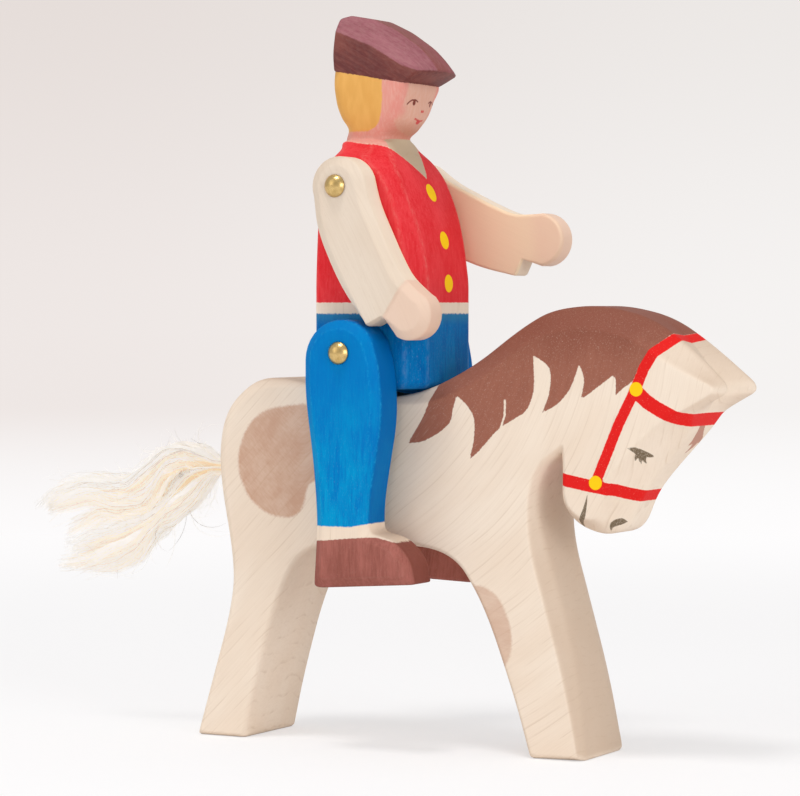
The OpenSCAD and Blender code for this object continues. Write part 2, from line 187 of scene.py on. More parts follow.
def evenly(rows, spacing, fine=None):
    """The same closed outline with its points a given distance apart along its length, or closer
    inside a box (low x, low z, high x, high z, spacing)."""
    looped = np.vstack([rows, rows[:1]])
    steps = np.linalg.norm(np.diff(looped[:, :2], axis=0), axis=1)
    keep = np.append(True, steps > 1e-9)
    looped = looped[keep]
    runs = np.linalg.norm(np.diff(looped[:, :2], axis=0), axis=1)
    gap = np.full(len(runs), spacing)
    if fine:
        middle = (looped[1:, :2] + looped[:-1, :2]) / 2
        gap[((middle > fine[:2]) & (middle < fine[2:4])).all(1)] = fine[4]
    length = np.append(0, np.cumsum(runs / gap)) * spacing
    at = np.linspace(0, length[-1], int(length[-1] / spacing) + 1)[:-1]
    return np.stack([np.interp(at, length, column) for column in looped.T], -1)


def arc_rows(middle, radius, start, end, count):
    """Points on an arc about a middle, from one angle to another in degrees, as control rows."""
    a = np.radians(np.linspace(start, end, count + 1))
    return [[middle[0] + radius * math.cos(k), middle[1] + radius * math.sin(k), 0, 1] for k in a]


def softened(controls, radii, round_steps, flat_steps):
    """A profile through control points, for every place along a path at once. Each inner corner p
    is a parabola from u to v, which lie its radius away on both sides, or 45% of the way where
    that is less. Straight runs are divided evenly. Also gives, for each point of the profile, how
    near it is to the crest of a corner, from 0 to 1."""
    controls = np.asarray(controls, float)
    t = np.linspace(0, 1, round_steps)[:, None, None]
    rings, crest = [], []
    leave = controls[0]
    for k in range(1, len(controls) - 1):
        before, p, after = controls[k - 1], controls[k], controls[k + 1]
        near = np.linalg.norm(before - p, axis=-1, keepdims=True) + 1e-9
        far = np.linalg.norm(after - p, axis=-1, keepdims=True) + 1e-9
        u = p + (before - p) * np.minimum(0.45, radii[k - 1] / near)
        v = p + (after - p) * np.minimum(0.45, radii[k - 1] / far)
        s = np.linspace(0, 1, flat_steps[k - 1] + 1)[:-1, None, None]
        rings.append(leave * (1 - s) + u * s)
        crest.append(np.zeros(len(s)))
        rings.append(parabola(u, p, v, t)[:-1])
        crest.append(1 - np.abs(2 * t[:-1, 0, 0] - 1))
        leave = v
    s = np.linspace(0, 1, flat_steps[-1] + 1)[:, None, None]
    rings.append(leave * (1 - s) + controls[-1] * s)
    crest.append(np.zeros(len(s)))
    return np.concatenate(rings), np.concatenate(crest)


def offsets(points, line, closed=False):
    """Distance of each point from a broken line in the plane."""
    line = np.asarray(line, float)[:, :2]
    start, end = (line, np.roll(line, -1, 0)) if closed else (line[:-1], line[1:])
    best = np.full(len(points), 1e9)
    for a, b in zip(start, end):
        run = b - a
        t = np.clip(((points - a) @ run) / max(run @ run, 1e-12), 0, 1)
        best = np.minimum(best, np.linalg.norm(points - a - t[:, None] * run, axis=1))
    return best


def within(points, outline):
    """Whether each point lies inside a closed outline: it does if a ray crosses it oddly."""
    outline = np.asarray(outline, float)[:, :2]
    odd = np.zeros(len(points), bool)
    for a, b in zip(outline, np.roll(outline, -1, 0)):
        if a[1] != b[1]:
            cross = (a[1] > points[:, 1]) != (b[1] > points[:, 1])
            odd ^= cross & (points[:, 0] < (b[0] - a[0]) * (points[:, 1] - a[1]) / (b[1] - a[1]) + a[0])
    return odd


def field(points, outline):
    """Signed distance to a closed outline in the plane, positive inside."""
    return np.where(within(points, outline), 1, -1) * offsets(points, outline, closed=True)


def stroke(points, line, half_width):
    """Half width less the distance from a line: positive on a painted stroke."""
    return half_width - offsets(points, line)


def flat_fill(loop, spacing, fine=()):
    """Points and triangles that fill a flat outline evenly, more finely inside the given boxes
    (low x, low z, high x, high z, spacing)."""
    low, high = loop.min(0), loop.max(0)
    grids = [(low[0], low[1], high[0], high[1], spacing), *fine]
    inner = np.empty((0, 2))
    for x0, z0, x1, z1, step in grids:
        x, z = np.meshgrid(np.arange(x0, x1, step), np.arange(z0, z1, step * 0.866))
        x = x + (np.arange(len(z)) % 2)[:, None] * step / 2
        cells = np.stack([x.ravel(), z.ravel()], -1)
        if len(inner):
            held = (inner > [x0, z0]).all(1) & (inner < [x1, z1]).all(1)
            inner = inner[~held]
        inner = np.vstack([inner, cells])
    inner = inner[field(inner, loop) > spacing * 0.55]
    points = np.vstack([loop, inner])
    ring = list(range(len(loop)))
    found = geometry.delaunay_2d_cdt(points.tolist(), [], [ring], 1, 1e-6)
    first = np.array([sources[0] for sources in found[3]])
    return inner, first[np.array(found[2], int)]


def facing(flat, faces, sign):
    """Triangles in the x-z plane, turned so that their normal points along sign times y."""
    a, b, c = (flat[faces[:, k]] for k in range(3))
    area = (b[:, 0] - a[:, 0]) * (c[:, 1] - a[:, 1]) - (b[:, 1] - a[:, 1]) * (c[:, 0] - a[:, 0])
    turned = faces.copy()
    swap = (area > 0) == (sign > 0)
    turned[swap] = turned[swap][:, ::-1]
    return turned


def board(controls, radii, flat_steps, spacing, fine=()):
    """Sawn board: the profile across its edge carried along the outline, s steps by t steps, and
    each flat side filled with an even net. Gives points, quads, triangles and the wear of the
    corners, from 1 on a crest to 0 a little way off."""
    rings, crest = softened(controls, radii, CORNER_STEPS, flat_steps)
    count, length = rings.shape[:2]
    quads = net(count, length)
    points, wear = [rings.reshape(-1, 3)], [np.repeat(crest, length)]
    triangles, used = [], count * length
    for row, sign in ((0, -1), (count - 1, 1)):
        loop = rings[row][:, [0, 2]]
        inner, faces = flat_fill(loop, spacing, fine)
        numbers = np.concatenate([row * length + np.arange(length), used + np.arange(len(inner))])
        flat = np.vstack([loop, inner])
        triangles.append(numbers[facing(flat, faces, sign)])
        points.append(at_depth(inner, rings[row][0, 1]))
        wear.append(np.clip(0.6 - offsets(inner, loop, closed=True) / 1.6, 0, 1))
        used += len(inner)
    return np.vstack(points), quads, np.vstack(triangles), np.concatenate(wear)


# Horse

EDGE = 1.0
CREST_DROP, NOSE_DROP = 6.5, 10.0
TOE_X, HEEL_X = STANCE / 2, -STANCE / 2
EAR_X = 109.0
# Rows: x, z, roundness, bevel depth across the board, bevel width, then the notch's shift
HORSE_ROWS = [
    [HEEL_X, 0, 0.12, EDGE, EDGE, 0, 0],
    [-60.5, 15, 0.9, EDGE, EDGE, 0, 0],
    [-53.5, 38, 0.9, EDGE, EDGE, 0, 0],
    [-52, 52, 0.9, 1.5, 1.5, 0, 0],
    [-58.5, 83, 0.9, 2, 2.5, 0, 0],
    [-56, 100, 0.9, 2, 3, 0, 0],
    [-44.5, 110, 0.9, 2, 3, 0, 0],
    [-31, 109.5, 0.9, 1.5, 2, 0, 0],
    [-17, 106, 0.9, EDGE, 1.5, 0, 0],
    [0, 104, 0.9, EDGE, 1.5, 0, 0],
    [13, 106.5, 0.9, 3.5, 4, 0, 0],
    [27, 114, 0.9, CREST_DROP, 6.4, 0, 0],
    [42, 125, 0.9, CREST_DROP, 6.4, 0, 0],
    [52, 130.5, 0.9, CREST_DROP, 6.4, 0, 0],
    [67, 132, 0.9, CREST_DROP, 6.4, 0, 0],
    [EAR_X - 26, 128.5, 0.9, CREST_DROP, 6.4, 0, 0],
    [EAR_X - 13, 120, 0.9, CREST_DROP, 6.6, -1, -1.2],
    [EAR_X + 0.735, 107.8, 0.55, 5, 1.5, -9.5, -0.5],
    [EAR_X - 11.5, 101.2, 0.5, 3.5, 1.2, 0, 0],
    [EAR_X - 14, 95.5, 0.9, NOSE_DROP - 2, 6.5, 0, 0],
    [84.5, 83.5, 0.9, NOSE_DROP, 8, 0, 0],
    [79.5, 77, 0.9, NOSE_DROP, 8, 0, 0],
    [75.7, 67.5, 0.9, NOSE_DROP, 6, 0, 0],
    [69, 65, 0.9, 8, 4.5, 0, 0],
    [61.5, 68, 0.9, 5, 3, 0, 0],
    [57.5, 74.5, 0.9, 2, 1.5, 0, 0],
    [58, 83, 0.7, 1.5, 1.2, 0, 0],
    [57.5, 89, 0.25, 2, 1.5, 0, 0],
    [51, 84, 0.9, 3, 1.5, 0, 0],
    [48.8, 75, 0.9, 3, 1.5, 0, 0],
    [50.5, 62, 0.9, 6, 2.5, 0, 0],
    [55.5, 45, 0.9, 7, 2.5, 0, 0],
    [61.5, 22, 0.9, 6.5, 2, 0, 0],
    [TOE_X, 0, 0.12, 3, 1.2, 0, 0],
    [48, 0, 0.12, EDGE, EDGE, 0, 0],
    [43, 17, 0.9, EDGE, EDGE, 0, 0],
    [33, 44, 0.9, EDGE, EDGE, 0, 0],
    [22, 60, 0.9, EDGE, EDGE, 0, 0],
    [-5, 61, 0.9, EDGE, EDGE, 0, 0],
    [-28, 59, 0.9, EDGE, EDGE, 0, 0],
    [-37, 42, 0.9, EDGE, EDGE, 0, 0],
    [-44.5, 16, 0.9, EDGE, EDGE, 0, 0],
    [-48, 0, 0.12, EDGE, EDGE, 0, 0],
]

# Painted outlines on the board's faces: x, z, roundness
MANE = [
    [17, 113, 0], [16.5, 107.5, 0.3], [15.5, 103.5, 0.8], [13.3, 98.5, 0.8], [8.4, 91, 0],
    [13, 91.4, 0.8], [18.5, 94, 0.8], [22.7, 97.5, 0.8], [23.3, 101.5, 0.8], [24.5, 105.3, 0],
    [27.2, 103.2, 0.8], [30.3, 99.5, 0.8], [30.4, 93, 0.8], [28.7, 86.6, 0], [32, 89.2, 0.8],
    [36.3, 94, 0.8], [39.4, 96.6, 0], [43, 98.6, 0.8], [47.3, 101, 0.8], [49.8, 107, 0.9],
    [49.3, 117.3, 0.15], [52, 115.8, 0.6], [55, 113.5, 0.9], [54.7, 106.5, 0.8], [52.2, 100.6, 0],
    [57, 103, 0.8], [61.2, 107.5, 0.8], [63.9, 114.8, 0.1], [65.8, 110.5, 0.9], [64.4, 104.6, 0],
    [68, 107, 0.5], [73.2, 110.8, 0.6], [75, 112, 0.9], [75.5, 109.5, 0.8], [75.3, 106, 0],
    [78, 108.3, 0.5], [80.6, 110, 0], [83.5, 115.5, 0.5], [86.5, 119.7, 0.5], [92, 125.5, 0],
    [88, 134, 0], [60, 142, 0], [30, 128, 0],
]
MANE_SLIT, SLIT_HALF = [[38.9, 96.2], [40.15, 99.8], [40.25, 104]], 0.32
# Straps of the bridle: the middle line of each and its half width, then the bosses with their radius
STRAPS = [
    ([[69.1, 80.8], [72.3, 88.2], [76.2, 97.5], [81.6, 108]], 1.6),
    ([[81.6, 108], [84.2, 114], [87, 118.2], [90.9, 121.9], [94, 125]], 1.65),
    ([[81.6, 107.4], [85, 104.3], [88.2, 102.4], [91, 101], [93.4, 99.8], [97.5, 98.8], [101, 98.9]], 2.05),
    ([[55, 82.2], [62.8, 80.7], [66.6, 80], [71.1, 79.3], [74.4, 78.7], [77, 77.6], [82, 76.2]], 1.8),
]
BOSSES = [([81.7, 107.8], 2.05), ([69.1, 80.8], 2.05)]
RUMP_SPOT = [
    [-16, 102.3, 0.6], [-29, 102, 0.6], [-40.5, 100.4, 0.8], [-46.5, 95.5, 0.8], [-49.8, 88, 0.8],
    [-49.9, 81, 0.8], [-46.5, 73.6, 0.8], [-40, 68.6, 0.8], [-32, 67.4, 0.8], [-27.5, 70, 0.8],
    [-25.6, 78, 0.6], [-20, 80.5, 0.8], [-13, 82, 0.9], [-12, 97, 0.9],
]
KNEE_SPOT = [
    [26, 50, 0.2], [33.5, 49.6, 0.6], [38.5, 46.6, 0.9], [42.3, 38.5, 0.9], [42.6, 30, 0.9],
    [38.5, 24, 0.6], [34, 20, 0.2],
]
EYE = [
    [79, 91, 0], [81.3, 91.25, 0.5], [82.55, 90.7, 0.5], [83.6, 89.9, 0.5], [84.45, 89.25, 0.5],
    [85.1, 88.35, 0], [83.85, 88.2, 0.4], [83.2, 88.4, 0.3], [82.75, 87.45, 0.3], [82.7, 86.25, 0],
    [82.05, 87.05, 0.4], [82.1, 87.75, 0.2], [81.85, 87.4, 0.3], [81.45, 86.25, 0], [81.15, 87.35, 0.4],
    [81.3, 88.2, 0.2], [80.9, 87.9, 0.4], [80.2, 86.95, 0], [80.5, 88.45, 0.4], [81, 89.35, 0.3],
    [80.2, 90.2, 0.5],
]
MOUTH = [
    [66.75, 78, 0], [65.3, 73.5, 0.6], [64.2, 70.8, 0.6], [63.1, 69.8, 0.5], [62.9, 68.6, 0.4],
    [63.4, 67.2, 0], [64.2, 69, 0.4], [65.85, 70.5, 0.5], [66.35, 73.8, 0.6],
]
NOSTRIL = [
    [75.45, 69.35, 0], [74.6, 70.45, 0.6], [73.4, 70.3, 0.7], [72.2, 69.45, 0.7], [71.3, 68.3, 0.6],
    [70.65, 66.1, 0], [71.6, 67.6, 0.5], [72.7, 68.1, 0.7], [74, 68.5, 0.6],
]
# Lock of hair on the forehead, which lies in front of FOREHEAD_X: y, z, roundness
FOREHEAD_X = 80
FORELOCK = [
    [-2.2, 97.4, 0.1], [1.6, 97.4, 0.1], [3.4, 95.3, 0.4], [6.3, 93.4, 0.5], [6.6, 92, 0.4], [5, 91.9, 0.2],
    [4.5, 90.8, 0.3], [2.7, 89.4, 0.3], [1.3, 88.6, 0], [2.4, 90.5, 0.3], [1.9, 91.8, 0.1], [-0.7, 91.1, 0],
    [-0.4, 92.4, 0.3], [-1.1, 94.2, 0.4],
]
# Middle of the grain's arcs, the radius that counts as 0 across the grain, and the x where the
# arcs start to take over from the hind leg's straight grain and where they have done so
RING_MIDDLE, RING_RADIUS = np.array([-31.0, 137.0]), 118
BEND_START, BEND_END = -30, 20
# Nearly upright, so that the hind leg's front counts as little end grain
HIND_FIBRES = np.array([0.25, 0.97])
# Spacing of the net along the edge and on the sides. Boxes with a finer net, low x, low z, high x,
# high z and spacing: the head's edge, then the slit in the mane, the eye and the mouth
HORSE_EDGE_NET, HORSE_SIDE_NET = 0.9, 0.8
HEAD_EDGE_NET = (57, 62, 100, 101, 0.45)
FINE_SIDE_NETS = [(36.5, 95, 42, 105.5, 0.35), (77.5, 85.5, 87, 93, 0.3), (61, 65.5, 69, 79.5, 0.35)]
# Across the edge: how far each corner is rounded, the steps of the runs between them, and how wide
# a strip of the flat face goes with the corner
HORSE_SOFT, HORSE_RUNS, HORSE_STRIP = (1.4, 1.4, 0.8, 1.4, 1.4), (1, 20, 8, 8, 20, 1), 1.2


def horse_controls():
    """Control points across the horse's edge, for each place along its outline: side face, side
    corner, edge corner, middle of the edge, and the same in reverse."""
    rows = np.array(HORSE_ROWS)
    both = np.hstack([rounded(rows), rounded(drawn_in(rows, rows[:, 4]))[:, :2]])
    both = evenly(both, HORSE_EDGE_NET, HEAD_EDGE_NET)
    edge, side, drop = both[:, [0, 1]], both[:, [7, 8]], both[:, 3]
    near = [at_depth(side + unit(side - edge) * HORSE_STRIP, -HALF_BOARD),
            at_depth(side, -HALF_BOARD), at_depth(edge, drop - HALF_BOARD)]
    return near + [at_depth(edge + both[:, [5, 6]], 0)] + [p * [1, -1, 1] for p in reversed(near)]


def bend_share(flat):
    """0 where the grain runs straight, as in the hind leg, and 1 where it lies in arcs."""
    share = np.clip((flat[:, 0] - BEND_START) / (BEND_END - BEND_START), 0, 1)
    return share * share * (3 - 2 * share)


def horse_grain(points):
    """Place in the grain: across the growth lines, through the board, and along them. The lines
    are arcs about RING_MIDDLE in front, and slant at 45 degrees in the hind leg."""
    flat = points[:, [0, 2]]
    away = flat - RING_MIDDLE
    arc = np.linalg.norm(away, axis=1)
    turn = np.arctan2(away[:, 1], away[:, 0]) * arc
    slant = (flat[:, 1] - flat[:, 0]) / math.sqrt(2)
    rise = (flat[:, 1] + flat[:, 0]) / math.sqrt(2)
    share = bend_share(flat)
    across = -slant * (1 - share) + (arc - RING_RADIUS) * share
    return np.column_stack([across, points[:, 1], rise * (1 - share) + turn * share])


def end_grain(piece, fibres):
    """How much a surface is end grain: the square of its normal's share along the fibres."""
    add_field(piece.data, "end_grain", (point_normals(piece)[:, [0, 2]] * fibres).sum(1) ** 2)


def horse_fibres(flat):
    """Direction on the board's face along which end grain is counted, bent as in horse_grain."""
    away = flat - RING_MIDDLE
    bent = unit(np.column_stack([-away[:, 1], away[:, 0]]))
    share = bend_share(flat)[:, None]
    return HIND_FIBRES * (1 - share) + bent * share


def horse_piece(material):
    """The horse as a board, with its painted patches as signed distances to their outlines."""
    points, quads, triangles, wear = board(
        horse_controls(), HORSE_SOFT, HORSE_RUNS, HORSE_SIDE_NET, FINE_SIDE_NETS)
    flat = points[:, [0, 2]]
    mane = np.minimum(field(flat, rounded(MANE, 8)), -stroke(flat, MANE_SLIT, SLIT_HALF))
    tack = np.max([stroke(flat, line, half) for line, half in STRAPS], 0)
    boss = np.max([half - np.linalg.norm(flat - at, axis=1) for at, half in BOSSES], 0)
    drawn = [field(flat, rounded(outline, 6)) for outline in (EYE, MOUTH, NOSTRIL)]
    front = np.minimum(field(points[:, [1, 2]], rounded(FORELOCK, 6)), points[:, 0] - FOREHEAD_X)
    values = {"mane": mane, "tack": tack, "boss": boss, "ink": np.max(drawn, 0), "forelock": front,
              "spots": field(flat, rounded(RUMP_SPOT, 8)), "knee": field(flat, rounded(KNEE_SPOT, 8)),
              "wear": wear}
    piece = add_piece("horse", points, quads, triangles, material, values, horse_grain(points))
    end_grain(piece, horse_fibres(flat))
    return piece


# Limbs

ARM_LENGTH, ARM_RADIUS, FIST_RADIUS = 51.7, 8.8, 7.6
LEG_LENGTH, LEG_RADIUS, SHOE_LENGTH = 68.8, 12.0, 33.8
ARM_THICKNESS, LEG_THICKNESS = 10, 12.5
# Direction of the fibres, in degrees above the x axis
ARM_GRAIN, LEG_GRAIN = -62, -90
# How far the pieces lie from each other in the grain, so that none repeats another's lines
LIMB_SHIFT, HAT_SHIFT = 31, 60
# The left limbs differ a little, and rest at other angles, in degrees
LEFT_FIST_EXTRA, LEFT_LEG_EXTRA = 0.5, 1.5
LEFT_ARM_RAISED, LEFT_LEG_BACK = 38.5, -6
SIDE_GAP, CUFF_GAP = 0.3, 0.6
OUTER_BEVEL, OUTER_WIDTH, INNER_BEVEL = 1.9, 2.7, 0.6
# Spacing of the net along the edge and on the sides, and a box with a finer net at the wrist
LIMB_EDGE_NET, LIMB_SIDE_NET, WRIST_NET = 0.55, 0.7, (13, -42, 25, -24, 0.3)
# The same as the horse's, from the outer face to the inner one
LIMB_SOFT, LIMB_RUNS, LIMB_STRIP = (0.7, 0.7, 0.4, 0.4), (1, 3, 8, 1, 1), 0.9
# Middles of the fist and of the thigh's round, from the nail
FIST = (ARM_LENGTH - FIST_RADIUS) * toward(-58.7)
THIGH = np.array([-0.3, -2.2])


def joint_place(name):
    """The x and z of a hinge of the frame, in millimetres from the middle of the stance."""
    for joint in frame["joints"]:
        if joint["name"] == name:
            x, _, z = joint["pos_m"]
            return np.array([x / MM - MID_X, z / MM])
    raise ValueError(f"The frame has no joint called {name}")


SHOULDER, HIP = joint_place("right_shoulder"), joint_place("right_hip")
# Corner of the cuff, from the shoulder's nail: it rests on the round of the thigh
CUFF = HIP - SHOULDER + THIGH + (LEG_RADIUS + CUFF_GAP) * toward(51.5)


def arm_rows(extra):
    """Outline of an arm about its nail: round top, sleeve, fist and the notch at the cuff."""
    grow = 1 + extra / FIST_RADIUS
    return arc_rows((0, 0), ARM_RADIUS, 200, 20, 16) + [
        [10.3, -5, 0.9, 1], [14, -12.8, 0.9, 1], [17.6, -20.3, 0.9, 1],
        [FIST[0] - 1.6, FIST[1] + 10.9, 0.9, 1], [FIST[0] + 4.1 * grow, FIST[1] + 6.1 * grow, 0.5, 1]] \
        + arc_rows(FIST, FIST_RADIUS * grow, 42, -120, 15) + [
        [CUFF[0] + 5, CUFF[1] + 2.5, 0, 0.2], [CUFF[0], CUFF[1], 0.05, 0.2],
        [CUFF[0] - 7, CUFF[1] + 8.6, 0.9, 0.8], [-1.4, -25.5, 0.9, 1], [-7.1, -13, 0.9, 1]]


def leg_rows(extra):
    """Outline of a leg about its nail: round thigh, calf and shoe."""
    sole, heel, toe = -LEG_LENGTH - extra - 0.6, -9.4, -9.4 + SHOE_LENGTH
    return arc_rows(THIGH, LEG_RADIUS, 180, 30, 15) + [
        [12.6, -4.5, 0.9, 1], [13.5, -19, 0.9, 1], [10.6, -35, 0.9, 1], [9.1, sole + 25, 0.9, 1],
        [9.1, sole + 17, 0.5, 1], [toe - 7, sole + 15, 0.8, 1], [toe - 1.5, sole + 9.7, 0.9, 1],
        [toe, sole + 2.2, 0.15, 1], [heel, sole, 0.2, 1], [heel + 0.8, sole + 13.5, 0.5, 1],
        [-8.3, sole + 21.5, 0.9, 1], [-9.6, -32, 0.9, 1], [-12.3, -13, 0.9, 1]]


def limb(name, rows, thickness, side, at, swing, grain_angle, patches, material, carve=None):
    """Sawn limb on one side of the rider, with a wide bevel outside and a small one inside. The
    last column of a row is the share of the bevels that its corner gets. patches gives the fields
    of the paint, and carve how far each point is pared down towards the rider."""
    rows = np.array(rows, float)
    cut = [rounded(drawn_in(rows, width * rows[:, 3]))[:, :2] for width in (OUTER_WIDTH, INNER_BEVEL)]
    both = evenly(np.hstack([rounded(rows)[:, :2]] + cut), LIMB_EDGE_NET)
    edge, outer, inner = both[:, :2], both[:, 2:4], both[:, 4:6]
    near_y = HALF_TORSO + SIDE_GAP
    far_y = near_y + thickness
    places = [(outer + unit(outer - edge) * LIMB_STRIP, far_y), (outer, far_y),
              (edge, far_y - OUTER_BEVEL), (edge, near_y + INNER_BEVEL), (inner, near_y),
              (inner + unit(inner - edge) * LIMB_STRIP, near_y)]
    controls = [at_depth(flat, side * y) for flat, y in places]
    radii, steps = LIMB_SOFT, LIMB_RUNS
    if side > 0:
        controls, radii, steps = controls[::-1], radii[::-1], steps[::-1]
    fine = [WRIST_NET] if carve else ()
    points, quads, triangles, wear = board(controls, radii, steps, LIMB_SIDE_NET, fine)
    flat = points[:, [0, 2]]
    values = {**patches(flat, side * points[:, 1] < near_y + 1), "wear": wear}
    if carve:
        points[:, 1] -= side * carve(points)
    fibres = toward(grain_angle)
    across = flat @ [-fibres[1], fibres[0]]
    grain = np.column_stack([across + LIMB_SHIFT * side, points[:, 1], flat @ fibres])
    a = math.radians(swing)
    spin = np.array([[math.cos(a), math.sin(a)], [-math.sin(a), math.cos(a)]])
    turned = flat @ spin
    points = at_depth(turned + at, points[:, 1])
    piece = add_piece(name, points, quads, triangles, material, values, grain)
    end_grain(piece, fibres @ spin)
    # rim is 1 where a point faces across the limb, on its sawn edges; the finishes paint these edges paler
    # or darker, as painted light and shade
    add_field(piece.data, "rim", 1 - np.abs(point_normals(piece)[:, 1]))
    return piece


# Two points of the line across the wrist, and the depth of the step down to the hand
WRIST, WRIST_DEPTH = [[23.5, -26], [14.6, -40.2]], 0.5


def beyond_wrist(flat):
    """Distance beyond the wrist, towards the fingers."""
    a, b = np.array(WRIST)
    run = unit(b - a)
    return -(flat - a) @ np.array([run[1], -run[0]])


def arm_paint(flat, inner_face):
    """Field of the hand's paint, whose edge is broad and faint on the inner face, and 1 on that."""
    hand = beyond_wrist(flat) * np.where(inner_face, 0.12, 1) - inner_face * 0.5
    return {"hand": hand, "inner": inner_face * 1.0}


def wrist_step(points):
    """How far the outer face of the hand is pared down below the sleeve."""
    outer = np.abs(points[:, 1]) > HALF_TORSO + ARM_THICKNESS - 3
    return np.clip(beyond_wrist(points[:, [0, 2]]) / 0.35, 0, 1) * WRIST_DEPTH * outer


# Heights of the trousers' hem and of the shoe's top at the heel, from the nail
HEM, SHOE_TOP = -50.9, -55.4


def leg_paint(extra):
    """Paint of a leg that is longer by extra. Its fields are the distance below the trousers' hem,
    and below the top of the shoe, which dips to the toe. They are the same on both faces."""
    def patches(flat, _):
        hem = HEM - extra + np.clip(flat[:, 0] - 4, 0, 6) * 0.2
        shoe = SHOE_TOP - extra + np.interp(flat[:, 0], [-9, 8, 12, 19], [0, 1.5, 1.6, 0])
        return {"hem": hem - flat[:, 1], "shoe": shoe - flat[:, 1]}
    return patches


# Rider's torso and head

TORSO_MID = -3.9
BELLY, BACK = TORSO_MID + 17.75, TORSO_MID - 17.75
HEAD_X = TORSO_MID - 3.7
NECK, BROW = 74.5, 90.5
# Rows: height above the seat, back, front, half width, half widths of the flat front and back,
# how far the side face stops short of the front and of the back, and how far the front bulges
TORSO_ROWS = np.array([
    [0, BACK + 2, BELLY - 2, HALF_TORSO - 1.5, 11.5, 11.5, 4, 2, 0],
    [0.7, BACK + 1, BELLY - 1, HALF_TORSO - 0.7, 12.4, 12.6, 4.1, 1.6, 0],
    [2.5, BACK, BELLY, HALF_TORSO, 13.3, 13.5, 4.2, 1.2, 0],
    [30, BACK, BELLY, HALF_TORSO, 13.3, 13.5, 4.2, 1.2, 0],
    [38, BACK + 0.2, BELLY - 0.9, HALF_TORSO, 13.4, 13.5, 4, 1.2, 0.2],
    [43, BACK + 0.4, BELLY - 1.8, HALF_TORSO, 13.7, 13.5, 3.6, 1.2, 0.4],
    [51, BACK + 0.7, BELLY - 4, HALF_TORSO, 14.3, 13.5, 3, 1.4, 0.5],
    [59, BACK + 1.2, BELLY - 7.2, HALF_TORSO, 15, 13.5, 2.8, 1.8, 0.6],
    [64, BACK + 2, BELLY - 9.4, HALF_TORSO, 14.5, 13, 4, 2.2, 0.6],
    [68, BACK + 3.2, BELLY - 11.9, HALF_TORSO - 0.8, 13, 12, 6, 3, 0.5],
    [71.5, BACK + 4, BELLY - 14.3, HALF_TORSO - 5.5, 9, 9, 4.5, 3, 0.5],
    [NECK - 0.8, HEAD_X - 10.7, BELLY - 15, HALF_TORSO - 9, 6, 6, 3.5, 2.5, 0.4],
    [NECK, HEAD_X - 10.9, HEAD_X + 6.5, 9.5, 4.5, 5, 4.5, 3.5, 0.4],
    [NECK + 3, HEAD_X - 10.2, HEAD_X + 8.2, 10.2, 6.3, 5, 4, 4, 0.8],
    [NECK + 6.5, HEAD_X - 11.4, HEAD_X + 10.2, 11, 8, 7, 3.5, 3.5, 1.1],
    [NECK + 11.5, HEAD_X - 12.5, HEAD_X + 11.5, 11.6, 9.9, 8.5, 2.5, 3, 1],
    [BROW + 1, HEAD_X - 12.6, HEAD_X + 12.2, 12, 11.6, 9.5, 1.5, 2.5, 0.6],
    [BROW + 5, HEAD_X - 12.4, HEAD_X + 9, 11.8, 9, 9.3, 2, 2.5, 0],
])
# Steps along the eight edges of a section: front, then round by the rider's left
EDGE_STEPS = (64, 10, 30, 5, 24, 5, 30, 10)
# Paint, with heights counted from the seat: the neckline as x and height, the shirt as y, height
# and roundness, the buttons as y and height, and the front edge of the hair as height and x
VEST_HEM, TROUSERS_TOP, HAIR_LOW = 25.6, 22.3, 76.8
NECKLINE = [[-30, 74], [-14.5, 73.9], [-8, 72.9], [-4, 72.6], [0, 71.4], [10, 71]]
# The shirt's V is bare wood, painted darker as shade under the chin
SHIRT = [[-9.6, 71.6, 0], [1.3, 62.6, 0], [7.8, 72, 0], [7, 74.6, 0.3], [-8.5, 74.6, 0.3]]
BUTTONS, BUTTON_RADIUS = [(0.9, 58.5), (0.3, 44.2), (0, 31.3)], 2.65
HAIR_EDGE = [
    [77, -8], [77.5, -6.5], [78.2, -5.3], [79.2, -4.4], [80.8, -3.6], [83.4, -3], [86, -2.6], [96, -2.3],
]
# The face, with y counted from its middle line
FACE_Y, EYE_Y, LINE_HALF = 1.1, 6.3, 0.24
LID = [
    [EYE_Y - 2.6, 85.6], [EYE_Y - 1.2, 86.1], [EYE_Y + 0.4, 86], [EYE_Y + 1.4, 85.5], [EYE_Y + 2.4, 84.6],
]
LIPS = [[-3, 80.6], [-1.4, 80.3], [0, 80.1], [1.5, 80.15], [2.9, 80.4]]


def blended_rows(rows, heights):
    """Cubics through the rows, each row's slope that of its own neighbours, kept under three times
    the slope on both sides so that nothing overshoots."""
    z, v = rows[:, 0], rows[:, 1:]
    gap = np.diff(z)[:, None]
    rise = np.diff(v, axis=0) / gap
    inner = (rise[:-1] * gap[1:] + rise[1:] * gap[:-1]) / (gap[1:] + gap[:-1])
    slope = np.vstack([rise[:1], inner, rise[-1:]])
    low = np.minimum(np.abs(np.vstack([rise[:1], rise])), np.abs(np.vstack([rise, rise[-1:]]))) * 3
    slope = np.clip(slope, -low, low)
    k = np.clip(np.searchsorted(z, heights, side="right") - 1, 0, len(z) - 2)
    t = ((heights - z[k]) / gap[k, 0])[:, None]
    return cubic(v[k], v[k + 1], slope[k] * gap[k], slope[k + 1] * gap[k], t)


